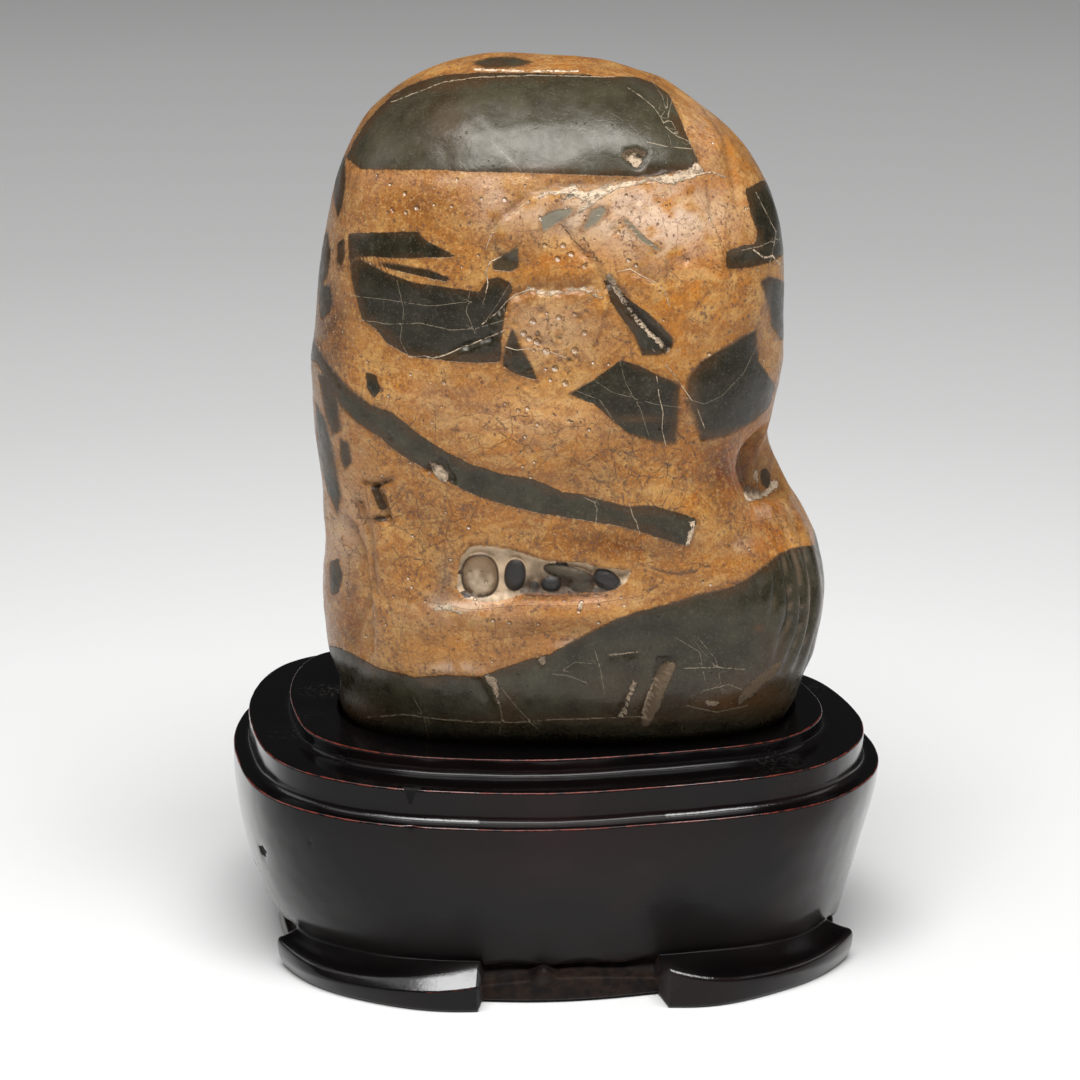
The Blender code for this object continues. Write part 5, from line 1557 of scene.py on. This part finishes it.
def speckled_ground(tree, moved, fine, middle, tiny):
    """The ground's colour: the carried one with deeper and paler grains, brown
    flecks and round specks."""
    ground = carried_colour(tree, "ground")
    plain = between(tree, number(tree, "blush_and_sheen"), 0.2, 1.0, 1.0, 0.25)
    golden = times(tree, plain, between(tree, middle, 0.50, 0.61, 0.0, 0.50))
    ground = blend(tree, golden, ground, DEEP_GOLD)
    paler = times(tree, plain, between(tree, fine, 0.53, 0.66, 0.0, 0.36))
    ground = blend(tree, paler, ground, PALE_GOLD)
    ground = blend(tree, between(tree, tiny, 0.54, 0.68, 0.0, 0.36), ground, PALE_GOLD)
    ground = blend(tree, between(tree, tiny, 0.34, 0.46, 0.50, 0.0), ground, BROWN_AND_PIT_SHADE)
    flecks = times(tree, between(tree, fine, 0.36, 0.46, 0.75, 0.0), number(tree, "speckled"))
    specks = between(tree, grains(tree, moved, SPECK_CELL).outputs["Distance"], 0.12, 0.24, 1.0, 0.0)
    specks = times(tree, specks, between(tree, middle, 0.42, 0.54))
    return blend(tree, sums(tree, "MAXIMUM", flecks, times(tree, specks, 0.8)), ground, SPECK_BROWN)


def crack_net(tree, moved, fine):
    """Share of the net of hair cracks, broken up by noise."""
    border = grains(tree, moved, NET_CELL, "DISTANCE_TO_EDGE").outputs["Distance"]
    thin = between(tree, border, 0.008, 0.030, 1.0, 0.0)
    return times(tree, thin, times(tree, number(tree, "netted"), between(tree, fine, 0.40, 0.54)))


def with_pits(tree, place, tiny, ground):
    """The ground with its round pits, painted shade on the upper wall and a painted
    glint of pale crystals on the lower, and the share of the pits."""
    shrunk = scaled(tree, number(tree, "pitted"), -0.20, 0.20)
    pits, wall = pitting(tree, place, PIT_CELL, PIT_SPREAD, shrunk)
    shaded = times(tree, pits, between(tree, wall, -0.35, 0.45, 0.05, 0.65))
    ground = blend(tree, shaded, ground, BROWN_AND_PIT_SHADE)
    glint = times(tree, pits, between(tree, wall, -0.30, 0.20, 1.0, 0.0))
    glint = times(tree, glint, between(tree, tiny, 0.44, 0.54, 0.30, 1.0))
    return blend(tree, glint, ground, PIT_GLINT_WHITE), pits


def dusty_fragments(tree, fine, tiny):
    """The fragments' colour with paler dust in its grain."""
    colour = carried_colour(tree, "fragment")
    colour = blend(tree, between(tree, fine, 0.55, 0.70, 0.0, 0.22), colour, FRAGMENT_DUST)
    return blend(tree, between(tree, tiny, 0.56, 0.70, 0.0, 0.38), colour, FRAGMENT_DUST)


def with_crusts(tree, fine, middle, jitter, inside, colour):
    """The colour with its cream crusts and broken faces and the painted shadow round
    them, and the share of the crusts."""
    rough_edge = scaled(tree, jitter, 1.7, number(tree, "patch"))
    rough_edge = plus(tree, rough_edge, scaled(tree, middle, 2.0, -1.0))
    crust = between(tree, rough_edge, -0.12, 0.12, 1.0, 0.0)
    # painted shadow: a dark ring round each crust, stronger on the fragments
    under = between(tree, rough_edge, 0.15, 0.50, 0.65, 0.0)
    under = times(tree, under, between(tree, inside, 0.0, 1.0, 0.15, 1.0))
    colour = blend(tree, under, colour, GRIME_AND_SHADE)
    lines = line_share(tree, fine, 1.8, between(tree, middle, 0.38, 0.50), "crust", "crust_far")
    pale = sums(tree, "MAXIMUM", lines, number(tree, "patch_tone"))
    pale = times(tree, pale, between(tree, fine, 0.36, 0.54, 0.30, 1.0))
    pale = times(tree, pale, between(tree, middle, 0.34, 0.48, 0.65, 1.0))
    crust = sums(tree, "MAXIMUM", crust, lines)
    return blend(tree, crust, colour, blend(tree, pale, CRUST_SHADE, CRUST_CREAM)), crust


def with_pebbles(tree, jitter, cracks, colour):
    """The colour with the pebble hollow's cement and its outlined pebbles."""
    pebble = number(tree, "pebble")
    on = between(tree, pebble, -0.02, 0.03)
    filling = blend(tree, on, carried_colour(tree, "cement"), carried_colour(tree, "gem"))
    outline = between(tree, sums(tree, "ABSOLUTE", plus(tree, pebble, -0.03)), 0.03, 0.09, 0.8, 0.0)
    filling = blend(tree, outline, filling, PEBBLE_OUTLINE)
    filling = blend(tree, times(tree, cracks, 0.9), filling, CRACK_BROWN)
    rim = plus(tree, number(tree, "hollow"), jitter)
    return blend(tree, between(tree, rim, -0.25, 0.15, 1.0, 0.0), colour, filling)


def polished_breccia():
    """Waxed breccia: ochre ground and dark fragments, pale veins, cream crusts,
    pits, hair cracks and the pebble hollow; grime and painted shade where it is sunk."""
    material, tree, shader, place = new_finish("polished_breccia")
    tiny = clouds(tree, place, TINY_GRAIN, 2.0, 0.7)
    fine = clouds(tree, place, FINE_GRAIN, 3.0, 0.68)
    middle = clouds(tree, place, MIDDLE_GRAIN, 4.0, 0.62, 0.4)
    moved = bent(tree, place, *BEND)
    jitter = scaled(tree, fine, 1.3, -0.65)
    calm = scaled(tree, middle, 0.7, scaled(tree, fine, 0.45, -0.575))
    edge = sums(tree, "DIVIDE", plus(tree, number(tree, "dark"), calm), number(tree, "blur"))
    inside = between(tree, edge, -1.0, 1.0, 1.0, 0.0)
    broken = between(tree, fine, 0.36, 0.50)
    cracks = line_share(tree, middle, 7.0, broken, "crack", "crack_far")
    marks = sums(tree, "MAXIMUM", crack_net(tree, moved, fine), cracks)
    ground = speckled_ground(tree, moved, fine, middle, tiny)
    ground = blend(tree, times(tree, marks, 0.80), ground, CRACK_BROWN)
    ground, pits = with_pits(tree, place, tiny, ground)
    colour = blend(tree, inside, ground, dusty_fragments(tree, fine, tiny))
    veins = line_share(tree, middle, 7.0, broken, "vein", "vein_far")
    colour = blend(tree, times(tree, veins, 0.7), colour, VEIN_CREAM)
    colour, crust = with_crusts(tree, fine, middle, jitter, inside, colour)
    colour = with_pebbles(tree, jitter, cracks, colour)
    # grime and painted shade in cuts, hollows and under ledges
    grime_and_shade = times(tree, number(tree, "sunk"), between(tree, fine, 0.30, 0.62, 0.35, 1.0))
    colour = blend(tree, times(tree, grime_and_shade, 0.62), colour, GRIME_AND_SHADE)
    feed(tree, shader.inputs["Base Color"], colour)
    rough = between(tree, middle, 0.3, 0.7, *STONE_GLOSS)
    for share, amount in ((crust, 0.35), (pits, -0.12), (grime_and_shade, 0.30), (number(tree, "matte"), 0.35)):
        rough = scaled(tree, share, amount, rough)
    feed(tree, shader.inputs["Roughness"], rough)
    shader.inputs["IOR"].default_value = WAX_IOR
    shader.inputs["Specular Tint"].default_value = (*WAX_TINT, 1.0)
    waxed = between(tree, inside, 0.0, 1.0, 1.0, 0.25)
    height = scaled(tree, middle, 0.36, times(tree, fine, 0.17))
    height = times(tree, scaled(tree, pits, -0.50, height), waxed)
    height = scaled(tree, marks, -0.06, height)
    height = scaled(tree, times(tree, crust, fine), 0.6, height)
    feed(tree, shader.inputs["Normal"], raised(tree, height, 1.0))
    return material


def black_brown_lacquer():
    """Black-brown lacquer over hardwood: a reddish cast in clouds, red-brown
    worn edges, plain brown wood in the recesses and dusty rubbed places.  The
    clear coat shows on walls seen aslant and, grainy, on the feet's rolled tops."""
    material, tree, shader, place = new_finish("black_brown_lacquer")
    middle = clouds(tree, place, LACQUER_GRAIN, 5.0, 0.68)
    colour = carried_colour(tree, "lacquer")
    wood = blend(tree, between(tree, middle, 0.38, 0.62), WOOD_DARK, WOOD_BROWN)
    colour = blend(tree, number(tree, "gap"), colour, wood)
    worn = times(tree, number(tree, "wear"), scaled(tree, middle, 1.1, 0.48))
    worn = between(tree, worn, 0.86, 1.04)
    colour = blend(tree, worn, colour, WORN_RED)
    fine = clouds(tree, place, DUST_GRAIN, 3.0, 0.7)
    dust = times(tree, number(tree, "rubbed"), between(tree, fine, 0.50, 0.66))
    colour = blend(tree, times(tree, dust, 0.42), colour, DUST_GREY)
    rough_mark = plus(tree, number(tree, "mark"), scaled(tree, fine, 0.8, -0.4))
    mark = between(tree, rough_mark, -0.10, 0.15, 1.0, 0.0)
    colour = blend(tree, mark, colour, CHIP_BLACK)
    feed(tree, shader.inputs["Base Color"], colour)
    rough = scaled(tree, number(tree, "gap"), 0.55, number(tree, "gloss"))
    rough = scaled(tree, mark, 0.6, scaled(tree, dust, 0.25, rough))
    feed(tree, shader.inputs["Roughness"], rough)
    shader.inputs["IOR"].default_value = LACQUER_IOR
    slant = add(tree, "ShaderNodeLayerWeight", {}).outputs["Facing"]
    coat = times(tree, between(tree, slant, 0.26, 0.72, 0.0, 0.92), number(tree, "upright"))
    coat = sums(tree, "MAXIMUM", coat, times(tree, number(tree, "rolled"), 0.80))
    coat = times(tree, coat, between(tree, mark, 0.0, 1.0, 1.0, 0.0))
    feed(tree, shader.inputs["Coat Weight"], coat)
    shader.inputs["Coat Roughness"].default_value = COAT_ROUGHNESS
    shader.inputs["Coat IOR"].default_value = COAT_IOR
    feed(tree, shader.inputs["Normal"], raised(tree, middle, 0.04))
    grainy = times(tree, times(tree, fine, number(tree, "rolled")), 1.8)
    coat_height = scaled(tree, middle, 0.2, grainy)
    feed(tree, shader.inputs["Coat Normal"], raised(tree, coat_height, 0.04))
    return material


# ---- pieces
def piece(name, points, cells, fans, drawing, material):
    """One mesh from points in mm, four-cornered cells and three-cornered fans,
    with its numbers per point and its finish."""
    mesh = bpy.data.meshes.new(name)
    loops = np.concatenate([cells.reshape(-1), fans.reshape(-1)]).astype(np.int32)
    sizes = np.concatenate([np.full(len(cells), 4), np.full(len(fans), 3)]).astype(np.int32)
    starts = np.concatenate([[0], np.cumsum(sizes)[:-1]]).astype(np.int32)
    mesh.vertices.add(len(points))
    mesh.vertices.foreach_set("co", (points * MM).astype(np.float32).reshape(-1))
    mesh.loops.add(len(loops))
    mesh.loops.foreach_set("vertex_index", loops)
    mesh.polygons.add(len(sizes))
    mesh.polygons.foreach_set("loop_start", starts)
    mesh.polygons.foreach_set("use_smooth", np.ones(len(sizes), dtype=bool))
    mesh.update(calc_edges=True)
    mesh.validate()
    for key, values in drawing.items():
        if values.ndim == 2:
            carried = mesh.attributes.new(key, "FLOAT_COLOR", "POINT")
            full = np.column_stack([values, np.ones(len(values))])
            carried.data.foreach_set("color", full.astype(np.float32).reshape(-1))
        else:
            carried = mesh.attributes.new(key, "FLOAT", "POINT")
            carried.data.foreach_set("value", values.astype(np.float32))
    mesh.materials.append(material)
    made = bpy.data.objects.new(name, mesh)
    bpy.context.scene.collection.objects.link(made)
    return made


def make_stone():
    """The stone, one natural body."""
    points, cells, drawing = stone_surface()
    made = piece("polished_stone", points, cells, np.zeros((0, 3)), drawing, polished_breccia())
    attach(made, "root")
    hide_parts("scholars_rock")


def make_stand():
    """The carved stand, one block."""
    points, cells, fans, drawing = stand_surface()
    made = piece("carved_stand", points, cells, fans, drawing, black_brown_lacquer())
    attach(made, "root")
    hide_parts("wooden_stand")


# ---- surroundings
def pale_floor():
    """A wide round floor, near white round the object and greyer farther out."""
    material, tree, shader, place = new_finish("pale_floor")
    span = add(tree, "ShaderNodeVectorMath", {0: place}, operation="LENGTH").outputs["Value"]
    ramp = add(tree, "ShaderNodeValToRGB", {0: sums(tree, "DIVIDE", span, FLOOR_TONES[-1][0])})
    while len(ramp.color_ramp.elements) < len(FLOOR_TONES):
        ramp.color_ramp.elements.new(0.5)
    for stop, (reach, tone) in zip(ramp.color_ramp.elements, FLOOR_TONES):
        stop.position = reach / FLOOR_TONES[-1][0]
        stop.color = (tone, tone, tone * 0.995, 1.0)
    feed(tree, shader.inputs["Base Color"], ramp.outputs[0])
    shader.inputs["Roughness"].default_value = FLOOR_ROUGHNESS
    shader.inputs["IOR"].default_value = FLOOR_IOR
    turn = np.linspace(0.0, 2.0 * np.pi, FLOOR_STEPS + 1)[:-1]
    circle = np.column_stack([np.cos(turn), np.sin(turn), 0.0 * turn])
    points = np.vstack([circle * reach for reach in FLOOR_RINGS] + [np.zeros((1, 3))])
    cells, i, j = ring_net(len(FLOOR_RINGS), FLOOR_STEPS)
    fans = np.stack([np.full(FLOOR_STEPS, len(points) - 1), i, j], axis=1)
    piece("floor", points / MM, cells, fans, {}, material)


def soft_light(name, place, aim, width, height, power):
    """A rectangular soft light that faces a point."""
    data = bpy.data.lights.new(name, "AREA")
    data.shape = "RECTANGLE"
    data.size = width
    data.size_y = height
    data.energy = power
    lamp = bpy.data.objects.new(name, data)
    bpy.context.scene.collection.objects.link(lamp)
    lamp.location = place
    lamp.rotation_euler = facing(place, aim)


def facing(place, aim):
    """The turn that points an object's -Z from its place to the aim."""
    way = mathutils.Vector(aim) - mathutils.Vector(place)
    return way.to_track_quat("-Z", "Y").to_euler()


def make_lights():
    """Softboxes overhead, at the sides and in front, and an even pale surround."""
    for entry in LIGHTS:
        soft_light(*entry)
    world = bpy.data.worlds.new("surround")
    world.use_nodes = True
    ground = world.node_tree.nodes["Background"]
    ground.inputs["Color"].default_value = (1.0, 1.0, 1.0, 1.0)
    ground.inputs["Strength"].default_value = SURROUND_LIGHT
    bpy.context.scene.world = world


def make_camera():
    """The eye in front of the object, a little above it."""
    data = bpy.data.cameras.new("eye")
    data.lens = SHEET_UNITS / SHEET_SIDE * FILM_WIDTH
    data.sensor_width = FILM_WIDTH
    data.clip_start = 0.05
    data.clip_end = 60.0
    eye = bpy.data.objects.new("eye", data)
    bpy.context.scene.collection.objects.link(eye)
    eye.location = [c * MM for c in SHEET_EYE]
    eye.rotation_euler = facing([c * MM for c in SHEET_EYE], [c * MM for c in SHEET_AIM])
    bpy.context.scene.camera = eye


def main():
    """Both pieces, the floor, the lights and the eye."""
    make_stone()
    make_stand()
    pale_floor()
    make_lights()
    make_camera()
    bpy.context.scene.view_settings.view_transform = "Standard"


main()
